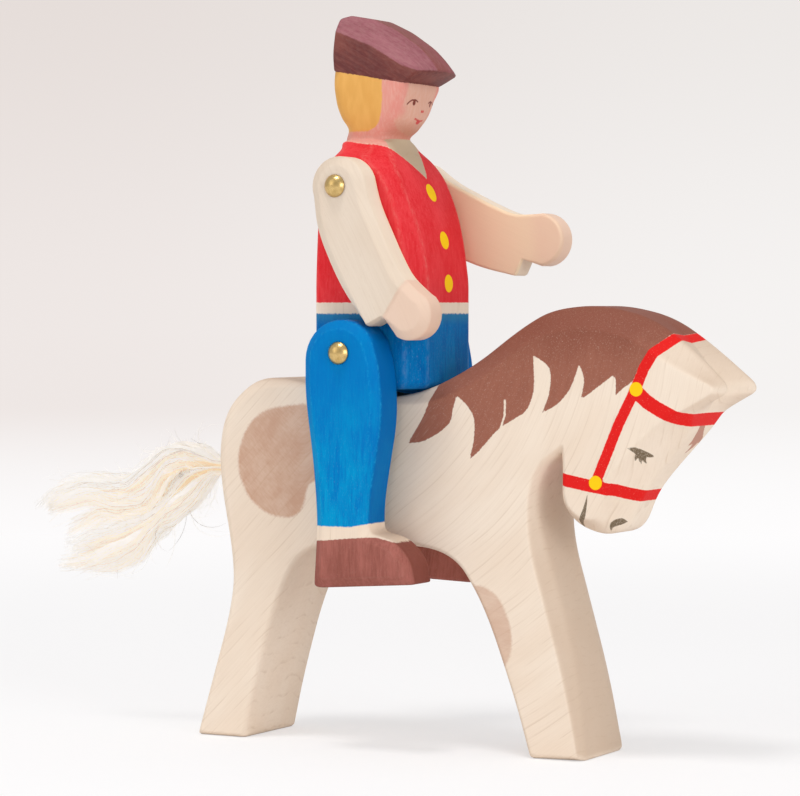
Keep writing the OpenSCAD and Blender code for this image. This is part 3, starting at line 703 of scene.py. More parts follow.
def sections(rows, heights, radius):
    """Eight-sided sections with rounded corners, one for each height, as a grid of points: the
    edges are divided as EDGE_STEPS says and each corner is a parabola of the given reach."""
    back, front, w, front_w, back_w, front_cut, back_cut, bulge = blended_rows(rows, heights).T
    corners = np.stack([
        np.stack([front, -front_w], -1), np.stack([front, front_w], -1),
        np.stack([front - front_cut, w], -1), np.stack([back + back_cut, w], -1),
        np.stack([back, back_w], -1), np.stack([back, -back_w], -1),
        np.stack([back + back_cut, -w], -1), np.stack([front - front_cut, -w], -1)], 1)
    before, after = np.roll(corners, 1, 1), np.roll(corners, -1, 1)
    reach = radius[:, None, None]
    u = corners + (before - corners) * np.minimum(
        0.4, reach / np.linalg.norm(before - corners, axis=-1, keepdims=True))
    v = corners + (after - corners) * np.minimum(
        0.4, reach / np.linalg.norm(after - corners, axis=-1, keepdims=True))
    t = np.linspace(0, 1, 7)[None, :-1, None]
    stretches, crest = [], []
    for k, steps in enumerate(EDGE_STEPS):
        curve = parabola(u[:, k, None], corners[:, k, None], v[:, k, None], t)
        s = np.linspace(0, 1, steps + 1)[None, :-1, None]
        following = u[:, (k + 1) % 8, None]
        run = v[:, k, None] * (1 - s) + following * s
        if k == 0:
            run = run + np.stack([bulge[:, None] * 4 * s[..., 0] * (1 - s[..., 0]), 0 * run[..., 1]], -1)
        stretches += [curve, run]
        crest += [1 - np.abs(2 * t[0, :, 0] - 1), np.zeros(steps)]
    ring = np.concatenate(stretches, 1)
    z = np.broadcast_to(BASE_Z + heights[:, None], ring.shape[:2])
    return np.concatenate([ring, z[..., None]], -1), np.concatenate(crest)


def face_fields(x, y, up, front):
    """Fields of the drawn eyes, of the lips and nose, of the blush and of the chin's shade."""
    aside = np.abs(y - FACE_Y)
    lid = stroke(np.column_stack([aside, up]), LID, LINE_HALF)
    iris = 0.72 - np.hypot(aside - EYE_Y + 0.75, up - 85.15)
    nose = 0.42 - np.hypot((aside - 0.5) / 1.3, up - 82.9)
    lips = stroke(np.column_stack([y - FACE_Y, up]), LIPS, LINE_HALF)
    under_lip = 0.62 - np.hypot((y - FACE_Y + 0.1) / 2.1, up - 79.7)
    low_jaw = np.clip((np.abs(y) - 8) / 2, 0, 1) * np.clip((up - 76.5) / 2.5, 0, 1)
    cheek = 0.75 - np.hypot((np.abs(y) - 9) / 4.5, (up - 82.5) / 4.5) * (x > 0)
    chin = np.clip(80.5 - up, 0, 4.5) / 4.5 * np.clip((x + 4) / 5, 0, 1) * (up > 73.5)
    return {"lines": np.minimum(np.maximum(lid, iris), front),
            "lips": np.minimum(np.max([nose, lips, under_lip], 0), front),
            "blush": np.maximum(np.clip((x + 1.6) / 2, 0, 1) * low_jaw, cheek), "chin": chin}


def torso_piece(material):
    """Torso, neck and head as one stack of eight-sided sections, closed at the seat and under the
    hat."""
    heights = np.concatenate([
        np.linspace(0, 2.5, 8)[:-1], np.linspace(2.5, 66, 92)[:-1], np.linspace(66, 76, 26)[:-1],
        np.linspace(76, BROW + 5, 56)])
    radius = np.interp(heights, [0, 60, 68, NECK, NECK + 4, BROW], [1.3, 1.3, 2.2, 2.4, 2.2, 1.6])
    grid, crest = sections(TORSO_ROWS, heights, radius)
    count, ring = grid.shape[:2]
    points = grid.reshape(-1, 3)
    low, high = grid[0].mean(0), grid[-1].mean(0)
    points = np.vstack([points, low, high])
    quads, triangles = tube(count, ring)
    wear = np.append(np.broadcast_to(crest, (count, ring)).ravel(), [0, 0])
    x, y, up = points[:, 0], points[:, 1], points[:, 2] - BASE_Z
    side = np.column_stack([y, up])
    front = x - (HEAD_X + 2)
    neckline = np.interp(x, *np.array(NECKLINE).T)
    shirt = np.minimum(field(side, rounded(SHIRT, 2)), front)
    vest = np.min([up - VEST_HEM, neckline - up, -shirt], 0)
    button = np.max([BUTTON_RADIUS - np.linalg.norm(side - at, axis=1) for at in BUTTONS], 0)
    hair = np.minimum(np.interp(up, *np.array(HAIR_EDGE).T) - x, up - HAIR_LOW)
    brim = up - BROW - 0.1 - np.interp(x - HEAD_X, [-11, 12.2], [4.3, 0.2])
    values = {"vest": vest, "trousers": TROUSERS_TOP - up, "shirt": shirt, "skin": up - neckline,
              "button": np.minimum(button, front), "hair": hair, "brim": brim, "wear": wear,
              "end_grain": np.zeros(len(points)), **face_fields(x, y, up, front)}
    grain = np.column_stack([x, y, up])
    return add_piece("rider_torso", points, quads, triangles, material, values, grain)


# Corners of the hat: x from the head's middle, half width, height above its edge at the brow
HAT_HALF, HAT_POWER = 12.4, 75
HAT_CORNERS = [
    [12.2, HAT_HALF - 0.3, 0.2], [-11, HAT_HALF - 0.4, 4.3], [-12.6, 9, 4.8], [17.4, HAT_HALF + 1, 3.5],
    [20.1, 7, 3.8], [21.2, 0, 3.9], [-12.8, HAT_HALF - 2.5, 10], [-10.3, HAT_HALF + 0.5, 16.3],
    [2, HAT_HALF + 0.5, 11.4], [12.2, HAT_HALF + 0.5, 5.4], [-11.9, 7, 20.6], [-9.4, 5.3, 21.5],
    [-0.5, 5.3, 19.9], [6.8, 5.3, 16.4], [14.3, 5, 11.3], [18.3, 4.6, 7.5],
]


def hull_planes(corners):
    """Unit normals and distances of the planes that bound a cloud of corners: every plane through
    three of them that leaves the rest behind it."""
    n = len(corners)
    i, j, k = (m.ravel() for m in np.meshgrid(*[np.arange(n)] * 3, indexing="ij"))
    keep = (i < j) & (j < k)
    a, b, c = corners[i[keep]], corners[j[keep]], corners[k[keep]]
    normal = np.cross(b - a, c - a)
    size = np.linalg.norm(normal, axis=1)
    keep = size > 0.3
    normal, a = normal[keep] / size[keep, None], a[keep]
    normal = np.vstack([normal, -normal])
    reach = (normal * np.vstack([a, a])).sum(1)
    outer = (corners @ normal.T - reach).max(0) < 0.02
    return normal[outer], reach[outer]


def hat_piece(material):
    """The hat as distances from its middle: in each direction c, the carved planes n.p = h give
    1 / r = (sum of max(0, n.c / h)^q)^(1/q), whose high power q leaves the corners a little soft."""
    side = np.array(HAT_CORNERS)
    corners = np.vstack([side, side * [1, -1, 1]])
    middle = np.array([1.5, 0, 10.5])
    normal, reach = hull_planes(corners - middle)
    unique = np.unique(np.round(np.column_stack([normal, reach]), 2), axis=0)
    normal, reach = unique[:, :3], unique[:, 3]
    tilt = np.linspace(0, math.pi, 150)[1:-1, None]
    turn = np.linspace(0, 2 * math.pi, 301)[None, :-1]
    way = np.stack([np.sin(tilt) * np.cos(turn), np.sin(tilt) * np.sin(turn), np.cos(tilt) + 0 * turn], -1)
    way = np.vstack([way.reshape(-1, 3), [0, 0, 1], [0, 0, -1]])
    share = np.maximum(way @ normal.T / reach, 0)
    peak = share.max(1, keepdims=True)
    radius = 1 / (peak[:, 0] * ((share / peak) ** HAT_POWER).sum(1) ** (1 / HAT_POWER))
    local = middle + way * radius[:, None]
    points = local + [HEAD_X, 0, BASE_Z + BROW]
    quads, triangles = (faces[:, ::-1] for faces in tube(tilt.size, turn.size))
    ordered = np.sort(share, 1)
    wear = np.clip(1 - (ordered[:, -1] - ordered[:, -3]) * 14, 0, 1)
    x, y, z = local.T
    ridge = np.interp(x, [-12.8, -10.3, 2, 12.2, 17.4, 21.2], [17.6, 16.3, 11.4, 5.4, 3.7, 4])
    slant = toward(-30)
    grain = np.column_stack([z * slant[0] - x * slant[1] + HAT_SHIFT, y, x * slant[0] + z * slant[1]])
    values = {"above": z - ridge, "crown": np.minimum(5.2 - np.abs(y), z - ridge), "wear": wear,
              "end_grain": np.zeros(len(points))}
    return add_piece("rider_hat", points, quads, triangles, material, values, grain)


# Nails

# The head's radius and rise, and the shank's radius and how deep it goes into the limb and torso
NAIL_RADIUS, NAIL_RISE, SHANK_RADIUS, SHANK_DEPTH = 3.35, 1.9, 1.25, 14


def nail_piece(name, at, thickness, side, material):
    """Domed nail head: the arc r = R sin a, y = R cos a - (R - h) turned about its shank, closed by
    a flat underside and carried a little into the wood by the shank."""
    curve = (NAIL_RADIUS ** 2 + NAIL_RISE ** 2) / (2 * NAIL_RISE)
    a = np.linspace(math.asin(NAIL_RADIUS / curve), 0, 20)[:-1]
    start = HALF_TORSO + thickness + 2 * SIDE_GAP
    under = [SHANK_RADIUS, SHANK_RADIUS, NAIL_RADIUS - 0.25, NAIL_RADIUS - 0.05]
    reach = np.concatenate([under, curve * np.sin(a)])
    out = np.concatenate([[-SHANK_DEPTH, -0.05, -0.05, 0], curve * np.cos(a) - curve + NAIL_RISE])
    turn = np.linspace(0, 2 * math.pi, 65)[:-1]
    x, z = at[0] + reach[:, None] * np.cos(turn), at[1] + reach[:, None] * np.sin(turn)
    y = side * (start + np.broadcast_to(out[:, None], x.shape))
    points = np.stack([x, y, z], -1).reshape(-1, 3)
    poles = [[at[0], side * (start + off), at[1]] for off in (-SHANK_DEPTH, NAIL_RISE)]
    points = np.vstack([points, poles])
    quads, ends = tube(reach.size, turn.size)
    if side > 0:
        quads, ends = quads[:, ::-1], ends[:, ::-1]
    local = np.column_stack([points[:, 0] - at[0], points[:, 1] * side - start, points[:, 2] - at[1]])
    return add_piece(name, points, quads, ends, material, {}, local)


# Tail

# Guides in the x-z plane from the hole to the tip: the top, the middle and the bottom of each lock
UPPER_LOCK = [
    [(-56, 83.5), (-66, 83.8), (-69, 85.4), (-73, 87.6), (-78, 88.5), (-83.5, 87.9), (-89.5, 84.6),
     (-94.5, 80.9), (-99.5, 77.8), (-105.5, 76.6), (-112.5, 77.2), (-119, 75.6), (-125.5, 72.9),
     (-131, 68)],
    [(-56, 82.6), (-66, 82.8), (-69, 83.6), (-73, 84.5), (-77.5, 85.1), (-82, 83.9), (-86, 80.9),
     (-89.5, 77.4), (-94, 73.9), (-99.5, 72.5), (-106.5, 73.4), (-114, 74), (-122, 72.5), (-129.5, 68)],
    [(-56, 81.8), (-66, 82.1), (-69, 82.3), (-72.5, 82.4), (-76.7, 82.1), (-80.6, 81.2), (-84, 79.2),
     (-86.5, 75.8), (-89.5, 71.9), (-94, 69.7), (-100.5, 68.9), (-108.5, 69.7), (-117.5, 69),
     (-126.5, 66.5)],
]
MIDDLE_LOCK = [
    [(-56, 81.8), (-66, 82.1), (-69.5, 82), (-73.7, 81.9), (-78, 81.4), (-82, 79.9), (-85, 77.1),
     (-87, 73.7), (-90.5, 70.2), (-95.5, 68.2), (-102.5, 67.3), (-109.5, 67.5), (-115.7, 65.2),
     (-122, 62.5)],
    [(-56, 81.5), (-66, 81.9), (-69.5, 81.8), (-73.5, 81.7), (-77.7, 81.1), (-81.5, 79.5), (-84.3, 76.7),
     (-86.2, 73.3), (-89, 69.8), (-93.8, 67.5), (-100.5, 66.3), (-107.6, 66.1), (-113.7, 63.8),
     (-120, 60.4)],
    [(-56, 81.2), (-66, 81.8), (-69.3, 81.6), (-73.2, 81.4), (-77.2, 80.9), (-80.9, 79.1), (-83.6, 76.3),
     (-85.3, 72.9), (-87.8, 69.4), (-92, 66.8), (-98.5, 65.3), (-105.6, 64.7), (-111.6, 62.4),
     (-118.3, 58.3)],
]
LOWER_LOCK = [
    [(-56, 81), (-66, 81.3), (-68.5, 81.1), (-71.8, 80.4), (-75.7, 78.8), (-79, 76.4), (-82, 73.4),
     (-84.6, 70.4), (-88, 67.3), (-94, 64.6), (-101.5, 63.1), (-108.6, 60.7), (-115, 58), (-121.3, 55.6)],
    [(-56, 80.4), (-66, 80.4), (-68.2, 79.8), (-71.3, 78.3), (-74.7, 75.7), (-78.2, 72.7), (-81.6, 69.2),
     (-85, 65.7), (-89, 62.6), (-94, 59.5), (-100, 56.8), (-106.6, 54.4), (-114, 52.4), (-122.4, 50.9)],
    [(-56, 79.6), (-65.5, 79.6), (-67.6, 78), (-69.8, 75), (-72, 72), (-75.7, 68.5), (-80.2, 65.7),
     (-84.6, 63), (-88, 60.6), (-91, 56.7), (-95, 52.7), (-100.6, 49.5), (-108.6, 47.5), (-116.8, 46.8)],
]


def smooth_line(knots, steps):
    """Points on a chain of cubics that passes through evenly numbered knots."""
    knots = np.asarray(knots, float)
    u = np.linspace(0, len(knots) - 1, steps)
    k = np.clip(u.astype(int), 0, len(knots) - 2)
    t = (u - k)[:, None]
    a, b = knots[k], knots[k + 1]
    before, after = knots[np.maximum(k - 1, 0)], knots[np.minimum(k + 2, len(knots) - 1)]
    return cubic(a, b, (b - before) / 2, (after - a) / 2, t)


# Locks that are made in shares: name, guides, seed of the first share, and where across the lock
# and how far along it the fibres are yellowed. The middle lock is one piece.
SHARED_LOCKS = (("upper", UPPER_LOCK, 30, (0.85, 0.35)), ("lower", LOWER_LOCK, 70, (0.25, 0.5)))
MIDDLE_SEED, MIDDLE_OCHRE = 50, (0.5, 0.9)
LOCK_STEPS, STRANDS = 36, 15
WISPS, WISP_SEED, WISP_STEPS = 700, 11, 10


def cut_short(path, reach):
    """Each path ended at its own share of its length, with as many points as before."""
    count, steps = path.shape[:2]
    along = np.clip(np.linspace(0, 1, steps)[None] * reach[:, None], 0, 1) * (steps - 1)
    base = np.clip(along.astype(int), 0, steps - 2)
    part = (along - base)[..., None]
    rows = np.arange(count)[:, None]
    return path[rows, base] * (1 - part) + path[rows, base + 1] * part


def tail_lock(name, guides, count, seed, ochre, material):
    """A lock of fibres. Fibre q of the lock follows the blend of its three guides at q, waves by
    sums of sines, spreads sideways as the lock opens, and is a thin tube that tapers to its end.
    The fibres of a strand share its wave and its colour, and draw together along their length.
    ochre is where across the lock, and how far along it, the fibres are yellowed."""
    steps, strands = LOCK_STEPS, STRANDS
    draw = np.random.default_rng(seed)
    lines = np.stack([smooth_line(g, steps) for g in guides])
    t = np.linspace(0, 1, steps)
    centre = (np.arange(strands) + draw.uniform(0.1, 0.9, strands)) / strands
    strand = draw.integers(0, strands, count)
    own = centre[strand] + draw.normal(0, 0.07, count)
    gather = np.interp(t, [0, 0.1, 0.4, 1], [0, 0.2, 0.62, 0.8])
    q = own[:, None] + (centre[strand] - own)[:, None] * gather
    q = q.clip(0, 1)
    weight = np.stack([np.interp(q, [0, 0.5, 1], row) for row in np.eye(3)], -1)
    flat = np.einsum("fsk,ksc->fsc", weight, lines)
    spread = np.interp(t, [0, 0.08, 0.16, 0.45, 0.8, 1], [2.6, 2.8, 4.2, 6.6, 7.6, 8.4])
    middle_y = draw.normal(0, 0.42, strands).clip(-0.9, 0.9)[strand]
    sideways = middle_y[:, None] + draw.normal(0, 0.3, count)[:, None] * (1 - gather)
    open_out = np.interp(t, [0, 0.1, 0.35, 1], [0.1, 0.25, 1, 1.7])
    phase = centre[strand] * 9 + draw.normal(0, 0.9, strands)[strand] + draw.normal(0, 0.25, count)
    wave = np.sin(t[None] * 19 + phase[:, None]) * 0.4 + np.sin(t[None] * 47 + 2.3 * phase[:, None]) * 0.25
    loose = np.where(draw.random(count) < 0.16, 3.0, 1.0)[:, None]
    frizz = np.cumsum(draw.normal(0, 0.16, (count, steps)), 1) * np.clip(t - 0.1, 0, 1)[None] * loose
    rise = wave * open_out + frizz
    y = sideways.clip(-1, 1) * spread + np.cos(t[None] * 14 + phase[:, None] * 1.7) * 0.6 * open_out
    y = y + np.cumsum(draw.normal(0, 0.1, (count, steps)), 1) * np.clip(t - 0.1, 0, 1)[None]
    reach = draw.normal(0.95, 0.06, strands)[strand] + draw.normal(-0.02, 0.05, count)
    reach = reach.clip(0.55, 1)
    path = np.stack([flat[..., 0], y, flat[..., 1] + rise], -1)
    path = cut_short(path, reach)
    middle, end = ochre
    yellowed = np.exp(-((q - middle) / 0.3) ** 2) * np.clip(1.3 - t[None] / end, 0, 1)
    streak = draw.uniform(-0.45, 0.6, strands)[strand] + draw.normal(0, 0.12, count)
    yellowed = np.maximum(yellowed, np.clip(1 - t[None] / 0.16, 0, 1) * 0.6)
    yellowed = np.clip(yellowed + streak[:, None] * np.interp(t, [0, 0.3, 1], [0.2, 0.6, 1]), 0, 1)
    # Some fibres are greyer: painted shade between the strands, which cast none on each other
    dim = draw.normal(0.02, 0.05, strands)[strand] + np.where(draw.random(count) < 0.22, 0.4, 0.0)
    return fibre_piece(name, path, draw.uniform(0.05, 0.12, count), yellowed, dim.clip(0, 1), material)


def fibre_piece(name, path, radius, yellowed, dim, material):
    """Thin tubes: a triangle of the fibre's radius carried along each path, tapering at the tip."""
    count, steps = path.shape[:2]
    ahead = unit(np.gradient(path, axis=1))
    across = unit(np.cross(ahead, [0, 1.0, 0]))
    other = np.cross(ahead, across)
    sides = 3
    turn = np.arange(sides) * 2 * math.pi / sides
    taper = np.interp(np.linspace(0, 1, steps), [0, 0.75, 1], [1, 0.9, 0.25])
    size = radius[:, None, None, None] * taper[None, :, None, None]
    round_about = across[:, :, None] * np.cos(turn)[:, None] + other[:, :, None] * np.sin(turn)[:, None]
    points = (path[:, :, None] + size * round_about).reshape(-1, 3)
    first = np.arange(count)[:, None, None] * steps * sides
    quads = (net(steps, sides)[None] + first).reshape(-1, 4)
    last = (steps - 1) * sides
    caps = (np.array([[2, 1, 0], [last, last + 1, last + 2]])[None] + first).reshape(-1, 3)
    yellowed = np.broadcast_to(yellowed[..., None], (count, steps, sides))
    dim = np.broadcast_to(dim[:, None, None], (count, steps, sides))
    return add_piece(name, points, quads, caps, material, {"yellowed": yellowed, "dim": dim})


def tail_wisps(name, count, seed, material):
    """Stray hairs: fibres of the locks that leave them along a shallow arc."""
    draw = np.random.default_rng(seed)
    lines = np.array(UPPER_LOCK + MIDDLE_LOCK + LOWER_LOCK)
    guides = lines[draw.integers(0, len(lines), count)]
    start = draw.uniform(2.2, 11.4, count)
    k = start.astype(int)
    part = (start - k)[:, None]
    rows = np.arange(count)
    root = guides[rows, k] * (1 - part) + guides[rows, k + 1] * part
    slope = np.arctan2(*(guides[rows, k + 1] - guides[rows, k]).T[::-1])
    slope = slope + draw.normal(0, 0.75, count)
    bend = draw.normal(0, 0.09, count)
    length = draw.gamma(2.2, 2.6, count).clip(2, 13)
    s = np.linspace(-0.3, 1, WISP_STEPS)[None] * length[:, None]
    angle = slope[:, None] + bend[:, None] * s
    x = root[:, :1] + s * np.cos(angle)
    z = root[:, 1:] + s * np.sin(angle)
    x = np.clip(x, -129.5, -63)
    y = draw.normal(0, 3.4, count)[:, None] + s * draw.normal(0, 0.25, count)[:, None]
    path = np.stack([x + 0 * s, y, z], -1)
    # Some stray hairs are greyer: painted shade
    dim = np.where(draw.random(count) < 0.12, draw.uniform(0.4, 0.9, count), 0.05)
    radius = draw.uniform(0.035, 0.065, count)
    return fibre_piece(name, path, radius, np.zeros((count, WISP_STEPS)), dim, material)


# Finishes

class Nodes:
    """A node tree, and short words for the nodes that it is built from."""

    def __init__(self, tree):
        self.tree = tree

    def node(self, kind, **settings):
        """A new node, with its settings."""
        made = self.tree.nodes.new(kind)
        for key, value in settings.items():
            setattr(made, key, value)
        return made

    def put(self, value, socket):
        """A link into a socket, or a flat value set on it."""
        if isinstance(value, bpy.types.NodeSocket):
            self.tree.links.new(value, socket)
        else:
            socket.default_value = value

    def number(self, name):
        """One of the painter's fields."""
        return self.node("ShaderNodeAttribute", attribute_name=name).outputs["Fac"]

    def grain(self, scale):
        """Place in the wood's grain, scaled."""
        found = self.node("ShaderNodeAttribute", attribute_name="grain")
        return self.mapped(found.outputs["Vector"], scale)

    def local(self, scale):
        """Place on the object in millimetres, scaled."""
        return self.mapped(self.node("ShaderNodeTexCoord").outputs["Object"], [k / MM for k in scale])

    def mapped(self, vector, scale):
        """A place, scaled along its axes."""
        mapping = self.node("ShaderNodeMapping")
        self.put(vector, mapping.inputs["Vector"])
        mapping.inputs["Scale"].default_value = scale
        return mapping.outputs["Vector"]

    def math(self, operation, a, b=0.0, c=0.0):
        """A sum, a product or the like of up to three values."""
        made = self.node("ShaderNodeMath", operation=operation)
        for value, socket in zip((a, b, c), made.inputs):
            self.put(value, socket)
        return made.outputs[0]

    def noise(self, place_in, detail=2.0, roughness=0.5):
        """Clouds from 0 to 1, about as large as a unit of the place."""
        made = self.node("ShaderNodeTexNoise")
        made.inputs["Scale"].default_value = 1.0
        made.inputs["Detail"].default_value = detail
        made.inputs["Roughness"].default_value = roughness
        self.put(place_in, made.inputs["Vector"])
        return made.outputs["Fac"]

    def step(self, value, low, high, start=0.0, end=1.0):
        """Soft step from start to end while a value goes from low to high."""
        made = self.node("ShaderNodeMapRange", interpolation_type="SMOOTHSTEP")
        for key, amount in (("Value", value), ("From Min", low), ("From Max", high),
                            ("To Min", start), ("To Max", end)):
            self.put(amount, made.inputs[key])
        return made.outputs["Result"]

    def mix(self, amount, a, b, blend="MIX"):
        """Colour a, turning into colour b as the amount goes from 0 to 1."""
        made = self.node("ShaderNodeMix", data_type="RGBA", blend_type=blend)
        self.put(amount, made.inputs["Factor"])
        self.put(a, made.inputs[6])
        self.put(b, made.inputs[7])
        return made.outputs[2]

    def painted(self, name, wobble, soft):
        """1 inside a painted outline, its edge wandering by a fraction of a millimetre."""
        ragged = self.noise(self.local((1.3, 1.3, 1.3)), 3.0, 0.6)
        moved = self.math("MULTIPLY_ADD", ragged, 2 * wobble, -wobble)
        return self.step(self.math("ADD", self.number(name), moved), -soft, soft)

    def coat(self, under, name, wobble, soft, over):
        """A colour laid over another inside a painted outline."""
        return self.mix(self.painted(name, wobble, soft), under, over)

    def blend(self, amount, a, b):
        """The same with two shaders."""
        made = self.node("ShaderNodeMixShader")
        for value, socket in zip((amount, a, b), made.inputs):
            self.put(value, socket)
        return made.outputs[0]


class Finish(Nodes):
    """A material, with the steps of a painter's finish."""

    def __init__(self, name):
        self.material = bpy.data.materials.new(name)
        self.material.use_nodes = True
        super().__init__(self.material.node_tree)
        self.shader = self.tree.nodes["Principled BSDF"]

    def bump(self, height, strength, distance):
        """Fine relief by a height, whose distance is given in millimetres."""
        made = self.node("ShaderNodeBump")
        made.inputs["Strength"].default_value = strength
        made.inputs["Distance"].default_value = distance * MM
        self.put(height, made.inputs["Height"])
        self.put(made.outputs["Normal"], self.shader.inputs["Normal"])

    def surface(self, colour, roughness, gloss=0.04):
        """Colour, roughness and gloss of the whole finish."""
        self.put(colour, self.shader.inputs["Base Color"])
        self.put(roughness, self.shader.inputs["Roughness"])
        self.shader.inputs["Specular IOR Level"].default_value = gloss


def shade(colour, amount=1.0):
    """An sRGB colour, times an amount, as the linear colour that shaders take."""
    c = np.asarray(colour[:3], float)
    linear = np.where(c <= 0.04045, c / 12.92, ((c + 0.055) / 1.055) ** 2.4) * amount
    return (*linear.clip(0, 1).tolist(), 1.0)


def maple(look, sizes, lines=1.0):
    """Bare maple: growth lines a few millimetres apart that fade in and out along their length,
    short dark flecks, fine fibres and slow clouds. Gives the colour and the height of the figure."""
    drift = look.noise(look.grain((0.05, 0.05, 0.012)), 2.0)
    across = look.node("ShaderNodeSeparateXYZ")
    look.put(look.grain((1 / sizes.ring_gap, 0, 0)), across.inputs[0])
    rings = look.math("FRACT", look.math("MULTIPLY_ADD", drift, 3.2, across.outputs[0]))
    line = look.math("MULTIPLY", look.step(rings, 0.74, 0.95), look.step(rings, 1.0, 0.96))
    broken = look.step(look.noise(look.grain((0.4, 0.3, 0.07)), 2.0), 0.4, 0.72)
    line = look.math("MULTIPLY", line, broken)
    fleck = look.step(look.noise(look.grain((2.6, 0.5, 0.3)), 2.0, 0.6), 0.64, 0.76)
    fibre = look.noise(look.grain((2.6, 0.6, 0.07)), 3.0, 0.6)
    cloud = look.noise(look.grain((0.06, 0.06, 0.025)), 2.0)
    tint = look.mix(look.step(cloud, 0.3, 0.7), shade(sizes.wood_light), shade(sizes.wood_warm))
    tint = look.mix(look.math("MULTIPLY", line, sizes.ring_depth * lines), tint, shade(sizes.wood_line))
    tint = look.mix(look.math("MULTIPLY", fleck, 0.18), tint, shade(sizes.wood_line))
    tint = look.mix(look.step(fibre, 0.35, 0.75, 0.0, 0.12), tint, shade(sizes.wood_line))
    tint = look.mix(look.math("MULTIPLY", look.number("end_grain"), 0.9), tint, shade(sizes.wood_end))
    height = look.math("MULTIPLY_ADD", fleck, -0.5, fibre)
    return tint, height


def stained(look, bare, colour, deep, speck=0.35, wear=0.5):
    """Water stain over the wood: it pools darker along the fibres, leaves pale pores, and is worn
    thin along the corners."""
    fibre = look.noise(look.grain((1.4, 1.4, 0.16)), 4.0, 0.7)
    cloud = look.noise(look.grain((0.12, 0.12, 0.05)), 3.0, 0.6)
    tone = look.math("ADD", look.math("MULTIPLY", fibre, 0.5), look.math("MULTIPLY", cloud, 0.5))
    tint = look.mix(look.step(tone, 0.36, 0.66), shade(deep), shade(colour))
    pores = look.noise(look.grain((3.6, 3.6, 1.1)), 2.0, 0.7)
    pores = look.math("MULTIPLY", look.step(pores, 0.56, 0.76), speck)
    rub = look.step(look.noise(look.grain((1.1, 1.1, 0.5)), 3.0, 0.7), 0.35, 0.7)
    rub = look.math("MULTIPLY", look.math("MULTIPLY", look.number("wear"), rub), wear)
    return look.mix(look.math("MAXIMUM", pores, rub), tint, bare)


def horse_finish(paints, sizes):
    """Bare maple with washed spots, a stained mane darker at its crest, and painted tack and ink."""
    look = Finish("stained_horse")
    bare, height = maple(look, sizes)
    wash = look.noise(look.grain((0.13, 0.13, 0.09)), 3.0, 0.6)
    weave = look.noise(look.grain((0.35, 1.0, 1.6)), 2.0, 0.6)
    wash = look.math("MULTIPLY_ADD", weave, 0.35, look.math("MULTIPLY", wash, 0.75))
    spot = look.mix(look.step(wash, 0.35, 0.72, 0.52, 0.78), bare, shade(paints.spot))
    knee = look.mix(0.25, spot, bare)
    tint = look.coat(bare, "spots", 0.6, 0.6, spot)
    tint = look.coat(tint, "knee", 0.6, 0.6, knee)
    place_in = look.node("ShaderNodeSeparateXYZ")
    look.put(look.local((1, 1, 1)), place_in.inputs[0])
    cloud = look.noise(look.grain((0.1, 0.1, 0.03)), 3.0, 0.6)
    high = look.step(look.math("MULTIPLY_ADD", cloud, 14, place_in.outputs[2]), 118, 134)
    brown = look.mix(high, shade(paints.mane), shade(paints.mane_top))
    fine = look.noise(look.grain((1.2, 1.2, 0.12)), 4.0, 0.7)
    brown = look.mix(look.step(fine, 0.35, 0.7, 0.0, 0.3), brown, shade(paints.mane_deep))
    pores = look.noise(look.grain((3.2, 3.2, 2.0)), 2.0, 0.7)
    brown = look.mix(look.step(pores, 0.55, 0.78, 0.0, 0.26), brown, bare)
    tint = look.coat(tint, "mane", 0.3, 0.14, brown)
    tint = look.coat(tint, "forelock", 0.3, 0.14, shade(paints.forelock))
    red = look.mix(look.step(pores, 0.6, 0.8, 0.0, 0.25), shade(paints.bridle), bare)
    tint = look.coat(tint, "tack", 0.2, 0.12, red)
    tint = look.coat(tint, "boss", 0.08, 0.12, shade(paints.button))
    ink = look.mix(look.step(pores, 0.45, 0.7, 0.0, 0.35), shade(paints.ink), bare)
    tint = look.coat(tint, "ink", 0.1, 0.1, ink)
    look.surface(tint, 0.5)
    look.bump(height, 0.12, 0.25)
    return look.material


def torso_finish(paints, sizes):
    """Maple with skin, hair and face, a red vest, a bare band for the shirt and blue trousers. The
    shirt's V under the chin is painted darker, as painted shade.
    """
    look = Finish("painted_torso")
    bare, height = maple(look, sizes)
    blush = look.step(look.number("blush"), 0.0, 1.0, 0.0, 0.8)
    skin = look.mix(blush, shade(paints.skin), shade(paints.blush))
    fibre = look.noise(look.grain((1.5, 1.5, 0.2)), 3.0, 0.6)
    skin = look.mix(look.step(fibre, 0.4, 0.7, 0.0, 0.16), skin, bare)
    skin = look.mix(look.math("MULTIPLY", look.number("chin"), 0.8), skin, shade(paints.chin))
    tint = look.coat(bare, "skin", 0.3, 0.3, skin)
    # Painted shade: the bare wood of the shirt's V darkened under the chin
    tint = look.coat(tint, "shirt", 0.15, 0.15, look.mix(0.75, bare, shade(paints.collar)))
    strands = look.step(look.noise(look.grain((0.5, 0.5, 0.12)), 3.0), 0.35, 0.7)
    hair = look.mix(strands, shade(paints.hair), shade(paints.hair_light))
    tint = look.coat(tint, "hair", 0.3, 0.3, hair)
    tint = look.coat(tint, "brim", 0.5, 0.15, shade(paints.hat_side))
    red = stained(look, bare, paints.vest, paints.vest_deep, 0.08, 0.12)
    tint = look.coat(tint, "vest", 0.3, 0.15, red)
    blue = stained(look, bare, paints.trousers, paints.trousers_deep, 0.08, 0.07)
    blue = look.mix(look.step(look.number("trousers"), 0.3, 4.0, 0.5, 0.0), blue, shade(paints.belt))
    tint = look.coat(tint, "trousers", 0.5, 0.25, blue)
    tint = look.coat(tint, "button", 0.06, 0.1, shade(paints.button))
    tint = look.coat(tint, "lips", 0.12, 0.14, shade(paints.lips))
    tint = look.coat(tint, "lines", 0.06, 0.1, shade(paints.brow))
    look.surface(tint, 0.5)
    look.bump(height, 0.1, 0.25)
    return look.material


